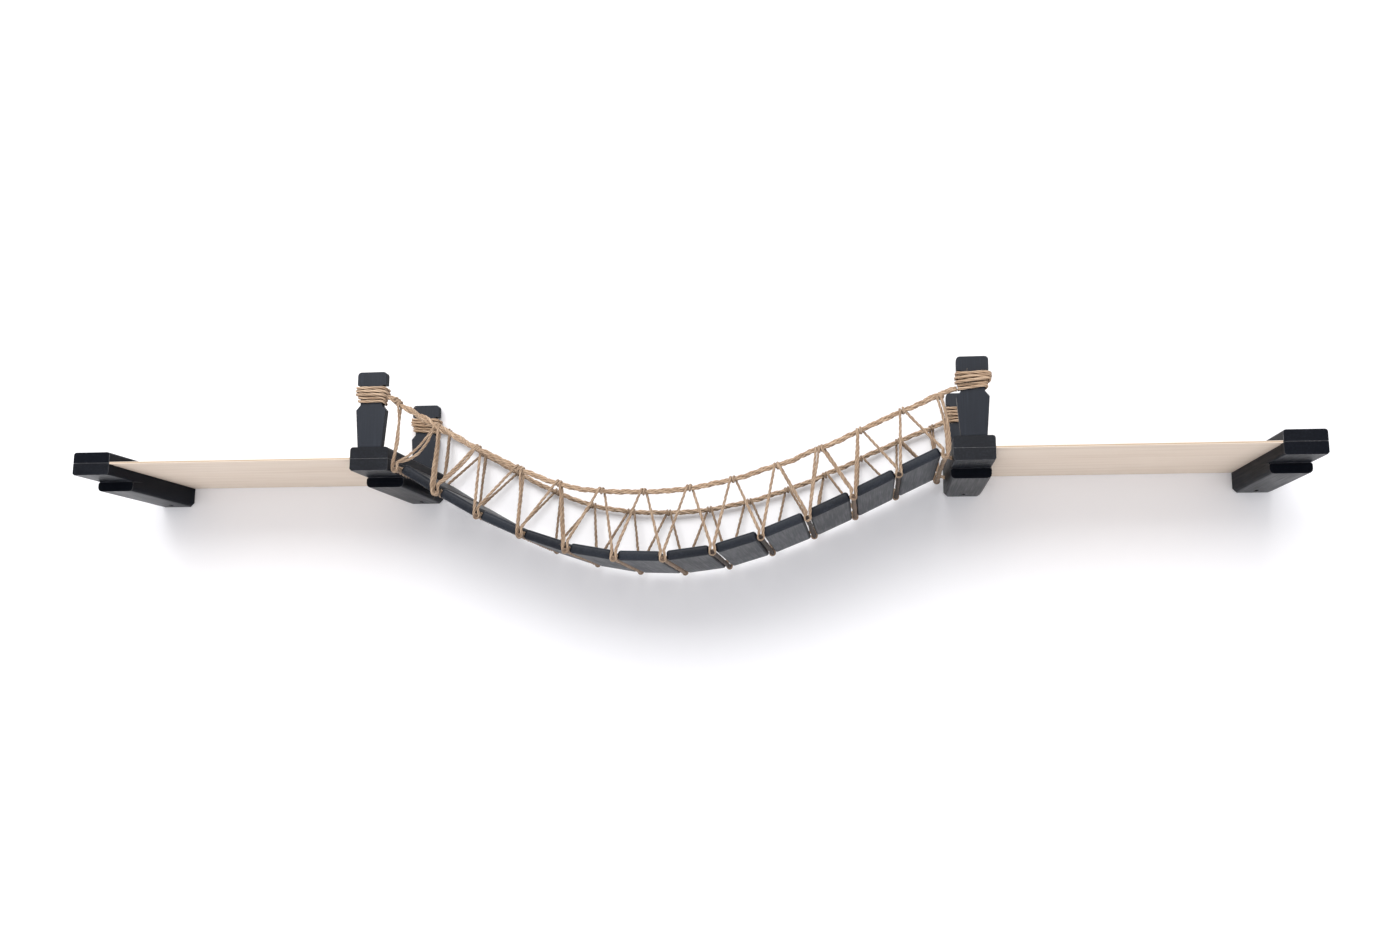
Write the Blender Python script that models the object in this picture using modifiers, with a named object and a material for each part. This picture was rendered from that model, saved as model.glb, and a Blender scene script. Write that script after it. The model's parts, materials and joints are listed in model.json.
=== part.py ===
"""Cat climbing bridge for a wall: two plywood shelves on four wooden brackets, and between the inner
brackets a sagging bridge of twelve planks, threaded on two ropes and hung in twine lacing from two
handrails. +X runs along the wall, +Y into it, +Z up. The wall is the plane Y = 0, X = 0 lies midway
between the inner brackets, and Z = 0 is the middle of the shelf panels' thickness."""
import math

import bmesh
import bpy
import numpy as np
from mathutils import Matrix, Vector

# Clearances
SEAT_GAP = 0.0003
ROPE_GAP = 0.0004
HOLE_GAP = 0.0005
CUT_OVERRUN = 0.004
WELD_DISTANCE = SEAT_GAP / 10

# Brackets, fixed to wall studs
STUD_PITCH = 0.4064
BRACKET_WIDTH = 0.054
BRACKET_DEPTH = 0.240
TOP_BAR_THICKNESS = 0.0156
TOP_BAR_ROUNDING = 0.004
ARM_THICKNESS = 0.0166
ARM_ROUNDING = 0.0025
HEEL_DROP = 0.014
HEEL_SETBACK = 0.064
HEEL_ROUNDING = 0.006
WALL_HOLE_DIAMETER = 0.005
WALL_HOLE_INSET = 0.021
WALL_HOLE_SLANT = 20.0
PANEL_HOUSING_LIP = 0.012

# Shelf panels
PANEL_THICKNESS = 0.003

# Screws that clamp a panel in its bracket
SCREW_HEAD_DIAMETER = 0.008
SCREW_HEAD_HEIGHT = 0.003
SCREW_HEAD_RIM = 0.0005
SCREW_DIAMETER = 0.004
SCREW_LENGTH = 0.028
SCREW_TIP = 0.004
SCREW_INSET = 0.036

# Rope posts
POST_THICKNESS = 0.011
POST_BASE_WIDTH = 0.034
POST_SHOULDER_WIDTH = 0.0425
POST_SHOULDER_HEIGHT = 0.051
POST_CHAMFER_HEIGHT = 0.007
POST_NECK_WIDTH = 0.031
POST_HEAD_WIDTH = 0.0415
POST_HEAD_HEIGHT = 0.0186
POST_HEAD_ROUNDING = 0.005
POST_EDGE_ROUNDING = 0.0012
POST_WALL_SPACE = 0.006
TENON_WIDTH = 0.022
TENON_THICKNESS = 0.007
TENON_LENGTH = 0.010

# Twine and ropes
TWINE_DIAMETER = 0.0042
HANDRAIL_DIAMETER = 0.0076
CARRIER_DIAMETER = 0.005
CROSS_ROPE_DIAMETER = 0.004
WRAP_TURNS = 5
WRAP_TURN_GAP = 0.0004
CARRIER_TAIL = 0.012
CROSS_ROPE_TAIL = 0.0045

# Bridge deck
PLANK_WIDTH = 0.057
PLANK_SPACE_MIN = 0.006
PLANK_THICKNESS = 0.0135
PLANK_ROUNDING = 0.004
PLANK_LACING_SPACE = 0.0015
CARRIER_INSET = 0.020
HOOK_INSET = 0.004
DECK_END_INSET = 0.0125
DECK_SAG = 0.136
HANDRAIL_SAG = 0.139

# The sagging curves as shares of their span and their sag, from the left
DECK_ALONG_SHARES = (0.0, 0.152, 0.324, 0.455, 0.590, 0.755, 0.918, 1.0)
DECK_DROP_SHARES = (0.07, 0.549, 0.905, 1.0, 0.932, 0.621, 0.210, 0.0)
RAIL_ALONG_SHARES = (0.0, 0.168, 0.316, 0.466, 0.621, 0.770, 0.910, 1.0)
RAIL_DROP_SHARES = (0.015, 0.543, 0.909, 1.0, 0.894, 0.614, 0.265, 0.072)
KNOT_ALONG_SHARES = (0.018, 0.093, 0.168, 0.245, 0.316, 0.392, 0.466, 0.546, 0.621, 0.697, 0.770,
                     0.838, 0.910, 0.974)

# Fineness of the round shapes
CURVE_SAMPLES = 400
RAIL_POINTS = 36
CORNER_STEPS = 4
LOOP_CORNER_POINTS = 6
TURN_STEPS = 12
HALF_TURN_STEPS = 4

# Heights and places that follow from the sizes
JOINT_HALF = SEAT_GAP / 2
HOUSING_HALF = PANEL_THICKNESS / 2 + SEAT_GAP
BAR_TOP = JOINT_HALF + TOP_BAR_THICKNESS
ARM_BOTTOM = -JOINT_HALF - ARM_THICKNESS
HEEL_BOTTOM = ARM_BOTTOM - HEEL_DROP
ANCHOR_HEIGHT = -JOINT_HALF - ARM_THICKNESS / 2
BRIDGE_SIDE = STUD_PITCH - BRACKET_WIDTH / 2
POST_FOOT = BAR_TOP + SEAT_GAP
WRAP_PITCH = TWINE_DIAMETER + WRAP_TURN_GAP
NECK_HEIGHT = WRAP_TURNS * WRAP_PITCH + TWINE_DIAMETER + 2 * ROPE_GAP
NECK_FOOT = POST_SHOULDER_HEIGHT + POST_CHAMFER_HEIGHT
POST_HEIGHT = NECK_FOOT + NECK_HEIGHT + POST_HEAD_HEIGHT
RAIL_HEIGHT = POST_FOOT + NECK_FOOT + NECK_HEIGHT / 2
RAIL_END = STUD_PITCH - POST_NECK_WIDTH / 2 - TWINE_DIAMETER - 2 * ROPE_GAP
FRONT_POST_PLACE = POST_THICKNESS / 2 - BRACKET_DEPTH
REAR_POST_PLACE = -POST_THICKNESS / 2 - POST_WALL_SPACE
PLANK_SETBACK = HOOK_INSET + TWINE_DIAMETER / 2 + PLANK_LACING_SPACE
PLANK_FRONT = FRONT_POST_PLACE + PLANK_SETBACK
PLANK_REAR = REAR_POST_PLACE - PLANK_SETBACK
CARRIER_HOLE_DIAMETER = CARRIER_DIAMETER + 2 * HOLE_GAP


def empty_scene():
    """Remove what the scene holds, and give the part and its cutters a collection each."""
    for old in list(bpy.data.objects):
        bpy.data.objects.remove(old, do_unlink=True)
    collections = []
    for name in ("cat_climbing_bridge", "cutters"):
        collection = bpy.data.collections.new(name)
        bpy.context.scene.collection.children.link(collection)
        collections.append(collection)
    return collections


def make_material(name, colour, roughness, metallic):
    """A Principled material of one finish."""
    material = bpy.data.materials.new(name)
    material.use_nodes = True
    shader = material.node_tree.nodes["Principled BSDF"]
    shader.inputs["Base Color"].default_value = (*colour, 1.0)
    shader.inputs["Roughness"].default_value = roughness
    shader.inputs["Metallic"].default_value = metallic
    material.diffuse_color = (*colour, 1.0)
    return material


def add_object(name, data, collection, material=None):
    """Put mesh or curve data into the scene as a named object."""
    made = bpy.data.objects.new(name, data)
    collection.objects.link(made)
    if material is not None:
        data.materials.append(material)
    return made


def block(name, low, high, collection, material=None):
    """A box between two corners."""
    low, high = Vector(low), Vector(high)
    shape = bmesh.new()
    fit = Matrix.Translation((low + high) / 2) @ Matrix.Diagonal((*(high - low), 1.0))
    bmesh.ops.create_cube(shape, size=1.0, matrix=fit)
    mesh = bpy.data.meshes.new(name)
    shape.to_mesh(mesh)
    shape.free()
    return add_object(name, mesh, collection, material)


def rod(name, start, end, diameter, collection):
    """A closed cylinder from one point to another."""
    start, end = Vector(start), Vector(end)
    along = end - start
    turn = along.to_track_quat("Z", "Y").to_matrix().to_4x4()
    shape = bmesh.new()
    bmesh.ops.create_cone(shape, cap_ends=True, segments=TURN_STEPS, radius1=diameter / 2,
                          radius2=diameter / 2, depth=along.length,
                          matrix=Matrix.Translation((start + end) / 2) @ turn)
    mesh = bpy.data.meshes.new(name)
    shape.to_mesh(mesh)
    shape.free()
    return add_object(name, mesh, collection)


def plate(name, outline, thickness, collection, material=None):
    """A flat outline in X and Z, thickened evenly to both sides of Y = 0, as a mesh."""
    curve = bpy.data.curves.new(name, "CURVE")
    curve.dimensions = "2D"
    curve.fill_mode = "BOTH"
    curve.extrude = thickness / 2
    spline = curve.splines.new("POLY")
    spline.points.add(len(outline) - 1)
    for point, (across, up) in zip(spline.points, outline):
        point.co = (across, up, 0.0, 1.0)
    spline.use_cyclic_u = True
    flat = bpy.data.objects.new(name, curve)
    mesh = bpy.data.meshes.new_from_object(flat)
    bpy.data.objects.remove(flat)
    bpy.data.curves.remove(curve)
    shape = bmesh.new()
    shape.from_mesh(mesh)
    bmesh.ops.remove_doubles(shape, verts=shape.verts, dist=WELD_DISTANCE)
    shape.transform(Matrix.Rotation(math.radians(90), 4, "X"))
    bmesh.ops.recalc_face_normals(shape, faces=shape.faces)
    shape.to_mesh(mesh)
    shape.free()
    return add_object(name, mesh, collection, material)


def tube(name, route, diameter, collection, material, sides_resolution=2):
    """A round rope along the points of its route."""
    curve = bpy.data.curves.new(name, "CURVE")
    curve.dimensions = "3D"
    curve.bevel_depth = diameter / 2
    curve.bevel_resolution = sides_resolution
    curve.use_fill_caps = True
    spline = curve.splines.new("POLY")
    spline.points.add(len(route) - 1)
    for point, place in zip(spline.points, route):
        point.co = (*place, 1.0)
    return add_object(name, curve, collection, material)


def round_edges(piece, width, segments):
    """Round the sharp edges of a piece with a Bevel modifier."""
    bevel = piece.modifiers.new("rounding", "BEVEL")
    bevel.width = width
    bevel.segments = segments
    bevel.limit_method = "ANGLE"
    return bevel


def cut(piece, cutter):
    """Cut one solid out of another."""
    cutter.hide_render = True
    cutter.display_type = "WIRE"
    knife = piece.modifiers.new("cut " + cutter.name, "BOOLEAN")
    knife.operation = "DIFFERENCE"
    knife.object = cutter


def arc(centre, radius, first, last, steps):
    """Points on an arc in X and Z, from one angle in degrees to another."""
    points = []
    for step in range(steps + 1):
        angle = math.radians(first + (last - first) * step / steps)
        points.append((centre[0] + radius * math.cos(angle), centre[1] + radius * math.sin(angle)))
    return points


def smooth_heights(alongs, node_alongs, node_heights):
    """Heights on the smooth curve through the nodes, whose slope at a node blends its two sides."""
    nodes = np.array(node_alongs)
    heights = np.array(node_heights)
    runs = np.diff(nodes)
    rises = np.diff(heights) / runs
    inner = (rises[:-1] * runs[1:] + rises[1:] * runs[:-1]) / (runs[:-1] + runs[1:])
    slopes = np.concatenate(([rises[0]], inner, [rises[-1]]))
    index = np.clip(np.searchsorted(nodes, alongs, side="right") - 1, 0, len(runs) - 1)
    run = runs[index]
    part = (alongs - nodes[index]) / run
    start_rise = part * (1 - part) ** 2 * slopes[index]
    end_rise = part ** 2 * (part - 1) * slopes[index + 1]
    blend = part ** 2 * (3 - 2 * part)
    return heights[index] * (1 - blend) + heights[index + 1] * blend + (start_rise + end_rise) * run


def sagging_curve(half_span, top, sag, along_shares, drop_shares):
    """Points in X and Z on a sagging curve, close together, and their distances along it."""
    alongs = np.linspace(0.0, 1.0, CURVE_SAMPLES)
    drops = smooth_heights(alongs, along_shares, drop_shares)
    places = np.stack(((2 * alongs - 1) * half_span, top - sag * drops), axis=1)
    steps = np.linalg.norm(np.diff(places, axis=0), axis=1)
    return places, np.concatenate(([0.0], np.cumsum(steps)))


def point_on(curve, distance):
    """The point of a sagging curve at a distance along it."""
    places, distances = curve
    return Vector((np.interp(distance, distances, places[:, 0]), 0.0,
                   np.interp(distance, distances, places[:, 1])))


def plank_places():
    """The middle and width direction of each plank: as many as fit, spread evenly along the curve."""
    curve = sagging_curve(BRIDGE_SIDE - DECK_END_INSET, 0.0, DECK_SAG, DECK_ALONG_SHARES, DECK_DROP_SHARES)
    length = curve[1][-1]
    count = int(length / (PLANK_WIDTH + PLANK_SPACE_MIN))
    pitch = length / count
    places = []
    for index in range(count):
        middle = (index + 0.5) * pitch
        left = point_on(curve, middle - PLANK_WIDTH / 2)
        right = point_on(curve, middle + PLANK_WIDTH / 2)
        places.append(((left + right) / 2, (right - left).normalized()))
    return places


def cross_rope_places(planks):
    """Where a cross rope lies in each gap: square below the carriers, which rest on it."""
    half = PLANK_WIDTH / 2
    drop = CARRIER_DIAMETER / 2 + CROSS_ROPE_DIAMETER / 2 + ROPE_GAP
    lefts = [middle - direction * half for middle, direction in planks]
    rights = [middle + direction * half for middle, direction in planks]
    before = [Vector((-BRIDGE_SIDE, 0.0, ANCHOR_HEIGHT))] + rights
    after = lefts + [Vector((BRIDGE_SIDE, 0.0, ANCHOR_HEIGHT))]
    places = []
    for start, end in zip(before, after):
        slope = (end - start).normalized()
        places.append((start + end) / 2 + Vector((slope.z, 0.0, -slope.x)) * drop)
    return places


def rail_route():
    """The handrail's points from wrap to wrap; it leaves each wrap level for one diameter."""
    curve = sagging_curve(RAIL_END, RAIL_HEIGHT, HANDRAIL_SAG, RAIL_ALONG_SHARES, RAIL_DROP_SHARES)
    length = curve[1][-1]
    level = Vector((HANDRAIL_DIAMETER, 0.0, 0.0))
    left, right = point_on(curve, 0.0), point_on(curve, length)
    inner = [point_on(curve, distance) for distance in np.linspace(0.0, length, RAIL_POINTS)]
    inner = [place for place in inner if left.x + 2 * level.x < place.x < right.x - 2 * level.x]
    return [left, left + level] + inner + [right - level, right]


def knot_places(count):
    """Where the lacing passes over the handrail, and the handrail's slope there."""
    route = np.array(rail_route())
    table = np.linspace(0.0, 1.0, len(KNOT_ALONG_SHARES))
    shares = np.interp(np.linspace(0.0, 1.0, count), table, KNOT_ALONG_SHARES)
    places = []
    for share in shares:
        across = (2 * share - 1) * RAIL_END
        reach = np.array((-TWINE_DIAMETER, 0.0, TWINE_DIAMETER)) / 2 + across
        left, middle, right = np.interp(reach, route[:, 0], route[:, 2])
        slope = Vector((TWINE_DIAMETER, 0.0, right - left)).normalized()
        places.append((Vector((across, 0.0, middle)), slope))
    return places


def bracket_sides():
    """Each bracket's name, its middle in X and the side, -1 or 1, that its shelf panel comes from."""
    return (("left_end", -2 * STUD_PITCH, 1), ("left_inner", -STUD_PITCH, -1),
            ("right_inner", STUD_PITCH, 1), ("right_end", 2 * STUD_PITCH, -1))


def screw_places(middle, side):
    """The tops of the two clamp screws of a bracket, over the half that holds the panel."""
    across = middle + side * BRACKET_WIDTH / 4
    return ((across, SCREW_INSET - BRACKET_DEPTH, BAR_TOP), (across, -SCREW_INSET, BAR_TOP))


def turned_screw(name, place, spare, head_lift, collection, material=None):
    """A countersunk screw, or with spare room round it the hole for one, as a turned profile."""
    head = SCREW_HEAD_DIAMETER / 2 + spare
    shank = SCREW_DIAMETER / 2 + spare
    profile = ((0.0, head_lift), (head, head_lift), (head, -SCREW_HEAD_RIM),
               (shank, -SCREW_HEAD_HEIGHT - spare), (shank, SCREW_TIP - SCREW_LENGTH - spare),
               (0.0, -SCREW_LENGTH - spare))
    shape = bmesh.new()
    corners = [shape.verts.new((radius, 0.0, height)) for radius, height in profile]
    for start, end in zip(corners, corners[1:]):
        shape.edges.new((start, end))
    mesh = bpy.data.meshes.new(name)
    shape.to_mesh(mesh)
    shape.free()
    turned = add_object(name, mesh, collection, material)
    turned.location = place
    lathe = turned.modifiers.new("lathe", "SCREW")
    lathe.axis = "Z"
    lathe.steps = TURN_STEPS
    lathe.render_steps = TURN_STEPS
    lathe.use_merge_vertices = True
    lathe.merge_threshold = WELD_DISTANCE
    lathe.use_smooth_shade = False
    return turned


def cut_screw_holes(piece, label, middle, side, cutters):
    """Cut the two clamp screws' holes into a piece of a bracket."""
    for index, place in enumerate(screw_places(middle, side)):
        hole = turned_screw(f"{label}_screw_hole_{index}", place, SEAT_GAP, CUT_OVERRUN, cutters)
        cut(piece, hole)


def build_arm(label, middle, side, parts, cutters, paint):
    """The lower arm of a bracket: one rebated piece, full depth above and deeper towards the wall."""
    name = f"{label}_bracket_arm"
    heel_front = HEEL_SETBACK - BRACKET_DEPTH
    outline = ((-BRACKET_DEPTH, -JOINT_HALF), (-BRACKET_DEPTH, ARM_BOTTOM), (heel_front, ARM_BOTTOM),
               (heel_front, HEEL_BOTTOM), (0.0, HEEL_BOTTOM), (0.0, -JOINT_HALF))
    arm = plate(name, outline, BRACKET_WIDTH, parts, paint)
    arm.data.transform(Matrix.Rotation(math.radians(90), 4, "Z"))
    arm.location.x = middle
    weigh_arm_edges(arm.data)
    bevel = round_edges(arm, HEEL_ROUNDING, 3)
    bevel.limit_method = "WEIGHT"
    cut(arm, wall_screw_hole(name, middle, cutters))
    cut(arm, panel_housing(name, middle, side, cutters))
    cut_screw_holes(arm, name, middle, side, cutters)
    return arm


def wall_screw_hole(label, middle, cutters):
    """The slanted hole for the wall screw, up through the heel's underside and out at the wall."""
    rise = math.tan(math.radians(WALL_HOLE_SLANT))
    mouth = Vector((middle, -WALL_HOLE_INSET, HEEL_BOTTOM))
    overrun = WALL_HOLE_INSET * Vector((0.0, 1.0, rise))
    return rod(f"{label}_wall_hole", mouth - overrun, mouth + 2 * overrun, WALL_HOLE_DIAMETER, cutters)


def panel_housing(label, middle, side, cutters):
    """The room for a shelf panel's tongue, half in the arm and half in the bar, closed in front."""
    near, far = middle - side * SEAT_GAP, middle + side * (BRACKET_WIDTH / 2 + CUT_OVERRUN)
    return block(f"{label}_housing", (min(near, far), PANEL_HOUSING_LIP - BRACKET_DEPTH, -HOUSING_HALF),
                 (max(near, far), CUT_OVERRUN, HOUSING_HALF), cutters)


def weigh_arm_edges(mesh):
    """Mark the arm's lower long edges for rounding, the heel's fully and the front's in part."""
    shape = bmesh.new()
    shape.from_mesh(mesh)
    weights = shape.edges.layers.float.new("bevel_weight_edge")
    for edge in shape.edges:
        start, end = (corner.co for corner in edge.verts)
        along_depth = abs(start.x - end.x) < SEAT_GAP and abs(start.z - end.z) < SEAT_GAP
        if along_depth and abs(start.z - HEEL_BOTTOM) < SEAT_GAP:
            edge[weights] = 1.0
        elif along_depth and abs(start.z - ARM_BOTTOM) < SEAT_GAP:
            edge[weights] = ARM_ROUNDING / HEEL_ROUNDING
    shape.to_mesh(mesh)
    shape.free()


def build_top_bar(label, middle, side, parts, cutters, paint):
    """The bar that closes a bracket from above, its top long edges rounded."""
    name = f"{label}_bracket_top_bar"
    half = BRACKET_WIDTH / 2
    corner = BAR_TOP - TOP_BAR_ROUNDING
    outline = [(-half, JOINT_HALF), (half, JOINT_HALF)]
    outline += arc((half - TOP_BAR_ROUNDING, corner), TOP_BAR_ROUNDING, 0, 90, CORNER_STEPS)
    outline += arc((TOP_BAR_ROUNDING - half, corner), TOP_BAR_ROUNDING, 90, 180, CORNER_STEPS)
    bar = plate(name, outline, BRACKET_DEPTH, parts, paint)
    bar.location = (middle, -BRACKET_DEPTH / 2, 0.0)
    cut(bar, panel_housing(name, middle, side, cutters))
    cut_screw_holes(bar, name, middle, side, cutters)
    return bar


def build_panel(label, middle, parts, cutters, plywood):
    """A plywood shelf panel, its two tongues housed in brackets one stud apart."""
    name = f"{label}_shelf_panel"
    half = STUD_PITCH / 2
    panel = block(name, (middle - half, -BRACKET_DEPTH, -PANEL_THICKNESS / 2),
                  (middle + half, 0.0, PANEL_THICKNESS / 2), parts, plywood)
    for bracket, bracket_middle, side in bracket_sides():
        if abs(bracket_middle - middle) < STUD_PITCH:
            cut(panel, tongue_notch(f"{name}_{bracket}", bracket_middle, side, cutters))
            cut_screw_holes(panel, f"{name}_{bracket}", bracket_middle, side, cutters)
    return panel


def tongue_notch(label, middle, side, cutters):
    """The corner cut from a panel, so that its tongue starts behind the front of the housing."""
    near = middle - side * CUT_OVERRUN
    far = middle + side * (BRACKET_WIDTH / 2 + SEAT_GAP)
    return block(f"{label}_notch", (min(near, far), -BRACKET_DEPTH - CUT_OVERRUN, -HOUSING_HALF),
                 (max(near, far), PANEL_HOUSING_LIP + SEAT_GAP - BRACKET_DEPTH, HOUSING_HALF), cutters)


def cut_anchor_holes(arm, middle, cutters):
    """Drill the blind holes that take the carrier ropes' ends into an inner bracket's arm."""
    inward = -1 if middle > 0 else 1
    mouth = middle + inward * BRACKET_WIDTH / 2
    floor = mouth - inward * (CARRIER_TAIL + HOLE_GAP)
    for label, depth in carrier_depths():
        hole = rod(f"{arm.name}_{label}_anchor_hole", (mouth + inward * CUT_OVERRUN, depth, ANCHOR_HEIGHT),
                   (floor, depth, ANCHOR_HEIGHT), CARRIER_HOLE_DIAMETER, cutters)
        cut(arm, hole)


def post_outline():
    """The post's face: tapered foot, shoulder, neck for the wrap and rounded head."""
    half_head = POST_HEAD_WIDTH / 2
    head_foot = NECK_FOOT + NECK_HEIGHT
    corner = POST_HEIGHT - POST_HEAD_ROUNDING
    right = [(POST_BASE_WIDTH / 2, 0.0), (POST_SHOULDER_WIDTH / 2, POST_SHOULDER_HEIGHT),
             (POST_NECK_WIDTH / 2, NECK_FOOT), (POST_NECK_WIDTH / 2, head_foot), (half_head, head_foot)]
    right += arc((half_head - POST_HEAD_ROUNDING, corner), POST_HEAD_ROUNDING, 0, 90, CORNER_STEPS)
    left = [(-across, up) for across, up in reversed(right)]
    return right + left


def grow_tenon(mesh):
    """Inset the foot of a post and draw it down into a tenon."""
    shape = bmesh.new()
    shape.from_mesh(mesh)
    foot = min(shape.faces, key=lambda face: face.calc_center_median().z)
    bmesh.ops.inset_region(shape, faces=[foot], thickness=POST_EDGE_ROUNDING)
    for corner in foot.verts:
        corner.co.x = math.copysign(TENON_WIDTH / 2, corner.co.x)
        corner.co.y = math.copysign(TENON_THICKNESS / 2, corner.co.y)
    drawn = bmesh.ops.extrude_face_region(shape, geom=[foot])["geom"]
    ends = [part for part in drawn if isinstance(part, bmesh.types.BMVert)]
    bmesh.ops.translate(shape, verts=ends, vec=(0.0, 0.0, -TENON_LENGTH))
    bmesh.ops.delete(shape, geom=[foot], context="FACES_ONLY")
    bmesh.ops.recalc_face_normals(shape, faces=shape.faces)
    shape.to_mesh(mesh)
    shape.free()


def build_post(label, middle, depth, bar, parts, cutters, paint):
    """A rope post, standing on its bracket's top bar with a tenon in a mortise."""
    name = f"{label}_rope_post"
    post = plate(name, post_outline(), POST_THICKNESS, parts, paint)
    grow_tenon(post.data)
    post.location = (middle, depth, POST_FOOT)
    round_edges(post, POST_EDGE_ROUNDING, 1)
    half_width, half_thickness = TENON_WIDTH / 2, TENON_THICKNESS / 2
    room = Vector((half_width + SEAT_GAP, half_thickness + SEAT_GAP, 0.0))
    centre = Vector((middle, depth, 0.0))
    floor = Vector((0.0, 0.0, POST_FOOT - TENON_LENGTH - SEAT_GAP))
    mouth = Vector((0.0, 0.0, BAR_TOP + CUT_OVERRUN))
    cut(bar, block(f"{name}_mortise", centre - room + floor, centre + room + mouth, cutters))
    return post


def wrap_route(middle, depth):
    """A rounded square helix round a post's neck, from the middle of its wall side."""
    reach = ROPE_GAP + TWINE_DIAMETER / 2
    half_width, half_thickness = POST_NECK_WIDTH / 2, POST_THICKNESS / 2
    corners = ((half_width, half_thickness, 90), (half_width, -half_thickness, 0),
               (-half_width, -half_thickness, -90), (-half_width, half_thickness, -180))
    loop = []
    for across, back, first in corners:
        loop += arc((across, back), reach, first, first - 90, LOOP_CORNER_POINTS - 1)
    start = (0.0, half_thickness + reach)
    flat = [start] + loop * WRAP_TURNS + [start]
    runs = [math.dist(here, there) for here, there in zip(flat, flat[1:])]
    travelled = np.concatenate(([0.0], np.cumsum(runs)))
    foot = POST_FOOT + NECK_FOOT + ROPE_GAP + TWINE_DIAMETER / 2
    climb = WRAP_TURNS * WRAP_PITCH
    route = []
    for (across, back), run in zip(flat, travelled):
        route.append(Vector((middle + across, depth + back, foot + climb * run / travelled[-1])))
    return route


def least_self_gap(route, diameter):
    """The least gap between the turns of a wound rope, measured between its points."""
    points = np.array(route)
    half_loop = 2 * LOOP_CORNER_POINTS
    least = min(np.linalg.norm(points[index + half_loop:] - point, axis=1).min()
                for index, point in enumerate(points[:-half_loop]))
    return least - diameter


def build_wrap(label, middle, depth, parts, twine):
    """The twine wound round a post's neck, which ties the handrail to it."""
    route = wrap_route(middle, depth)
    name = f"{label}_post_wrap"
    print(name, "least gap to itself, mm:", round(least_self_gap(route, TWINE_DIAMETER) * 1000, 2))
    return tube(name, route, TWINE_DIAMETER, parts, twine, sides_resolution=1)


def carrier_depths():
    """The depth of the front and the rear carrier rope."""
    return (("front", PLANK_FRONT + CARRIER_INSET), ("rear", PLANK_REAR - CARRIER_INSET))


def plank_mesh(parts, cutters, paint):
    """The mesh that all planks share: a board with rounded edges, bored for the two carriers."""
    half_width, half_thickness = PLANK_WIDTH / 2, PLANK_THICKNESS / 2
    board = block("plank_pattern", (-half_width, PLANK_FRONT, -half_thickness),
                  (half_width, PLANK_REAR, half_thickness), parts, paint)
    round_edges(board, PLANK_ROUNDING, 3)
    reach = half_width + CUT_OVERRUN
    for label, depth in carrier_depths():
        hole = rod(f"plank_{label}_hole", (-reach, depth, 0.0), (reach, depth, 0.0),
                   CARRIER_HOLE_DIAMETER, cutters)
        cut(board, hole)
    view = bpy.context.evaluated_depsgraph_get()
    mesh = bpy.data.meshes.new_from_object(board.evaluated_get(view))
    bpy.data.objects.remove(board)
    return mesh


def build_planks(planks, parts, cutters, paint):
    """The deck's planks, each tilted to the slope of the deck where it hangs."""
    mesh = plank_mesh(parts, cutters, paint)
    for index, (middle, direction) in enumerate(planks):
        plank = bpy.data.objects.new(f"plank_{index + 1:02d}", mesh)
        parts.objects.link(plank)
        plank.location = middle
        plank.rotation_euler.y = -math.atan2(direction.z, direction.x)


def build_carrier(label, depth, planks, parts, twine):
    """A rope threaded through every plank, its ends in the inner brackets' arms."""
    reach = PLANK_WIDTH / 2 + HOLE_GAP
    end = BRIDGE_SIDE + CARRIER_TAIL
    outside = BRIDGE_SIDE - HOLE_GAP
    route = [Vector((-end, 0.0, ANCHOR_HEIGHT)), Vector((-outside, 0.0, ANCHOR_HEIGHT))]
    for middle, direction in planks:
        route += [middle - direction * reach, middle + direction * reach]
    route += [Vector((outside, 0.0, ANCHOR_HEIGHT)), Vector((end, 0.0, ANCHOR_HEIGHT))]
    shift = Vector((0.0, depth, 0.0))
    line = [place + shift for place in route]
    return tube(f"{label}_carrier_rope", line, CARRIER_DIAMETER, parts, twine, sides_resolution=1)


def build_cross_ropes(crossings, parts, twine):
    """The rope in each gap, which runs from the front lacing to the rear one under the carriers."""
    front = FRONT_POST_PLACE + HOOK_INSET - CROSS_ROPE_TAIL
    rear = REAR_POST_PLACE - HOOK_INSET + CROSS_ROPE_TAIL
    for index, place in enumerate(crossings):
        route = ((place.x, front, place.z), (place.x, rear, place.z))
        tube(f"cross_rope_{index + 1:02d}", route, CROSS_ROPE_DIAMETER, parts, twine)


def build_handrail(label, depth, parts, twine):
    """The thick rope from post to post, which leaves each wrap level for one diameter."""
    shift = Vector((0.0, depth, 0.0))
    route = [place + shift for place in rail_route()]
    return tube(f"{label}_handrail", route, HANDRAIL_DIAMETER, parts, twine)


def knot_turn(place, slope, depth, outward):
    """The lacing's half turn over the handrail, from its outer side to its inner side."""
    step = 180 / HALF_TURN_STEPS
    reach = (HANDRAIL_DIAMETER / 2 + TWINE_DIAMETER / 2 + ROPE_GAP) / math.cos(math.radians(step / 2))
    up = Vector((-slope.z, 0.0, slope.x))
    out = Vector((0.0, outward, 0.0))
    centre = place + Vector((0.0, depth, 0.0))
    turn = []
    for count in range(HALF_TURN_STEPS + 1):
        angle = math.radians(count * step)
        turn.append(centre + (out * math.cos(angle) + up * math.sin(angle)) * reach)
    return turn


def hook_turn(crossing, depth):
    """The lacing's half turn under a cross rope, from its left side to its right side."""
    step = 180 / HALF_TURN_STEPS
    reach = (CROSS_ROPE_DIAMETER / 2 + TWINE_DIAMETER / 2 + ROPE_GAP) / math.cos(math.radians(step / 2))
    flat = arc((crossing.x, crossing.z), reach, 180, 360, HALF_TURN_STEPS)
    return [Vector((across, depth, up)) for across, up in flat]


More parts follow.
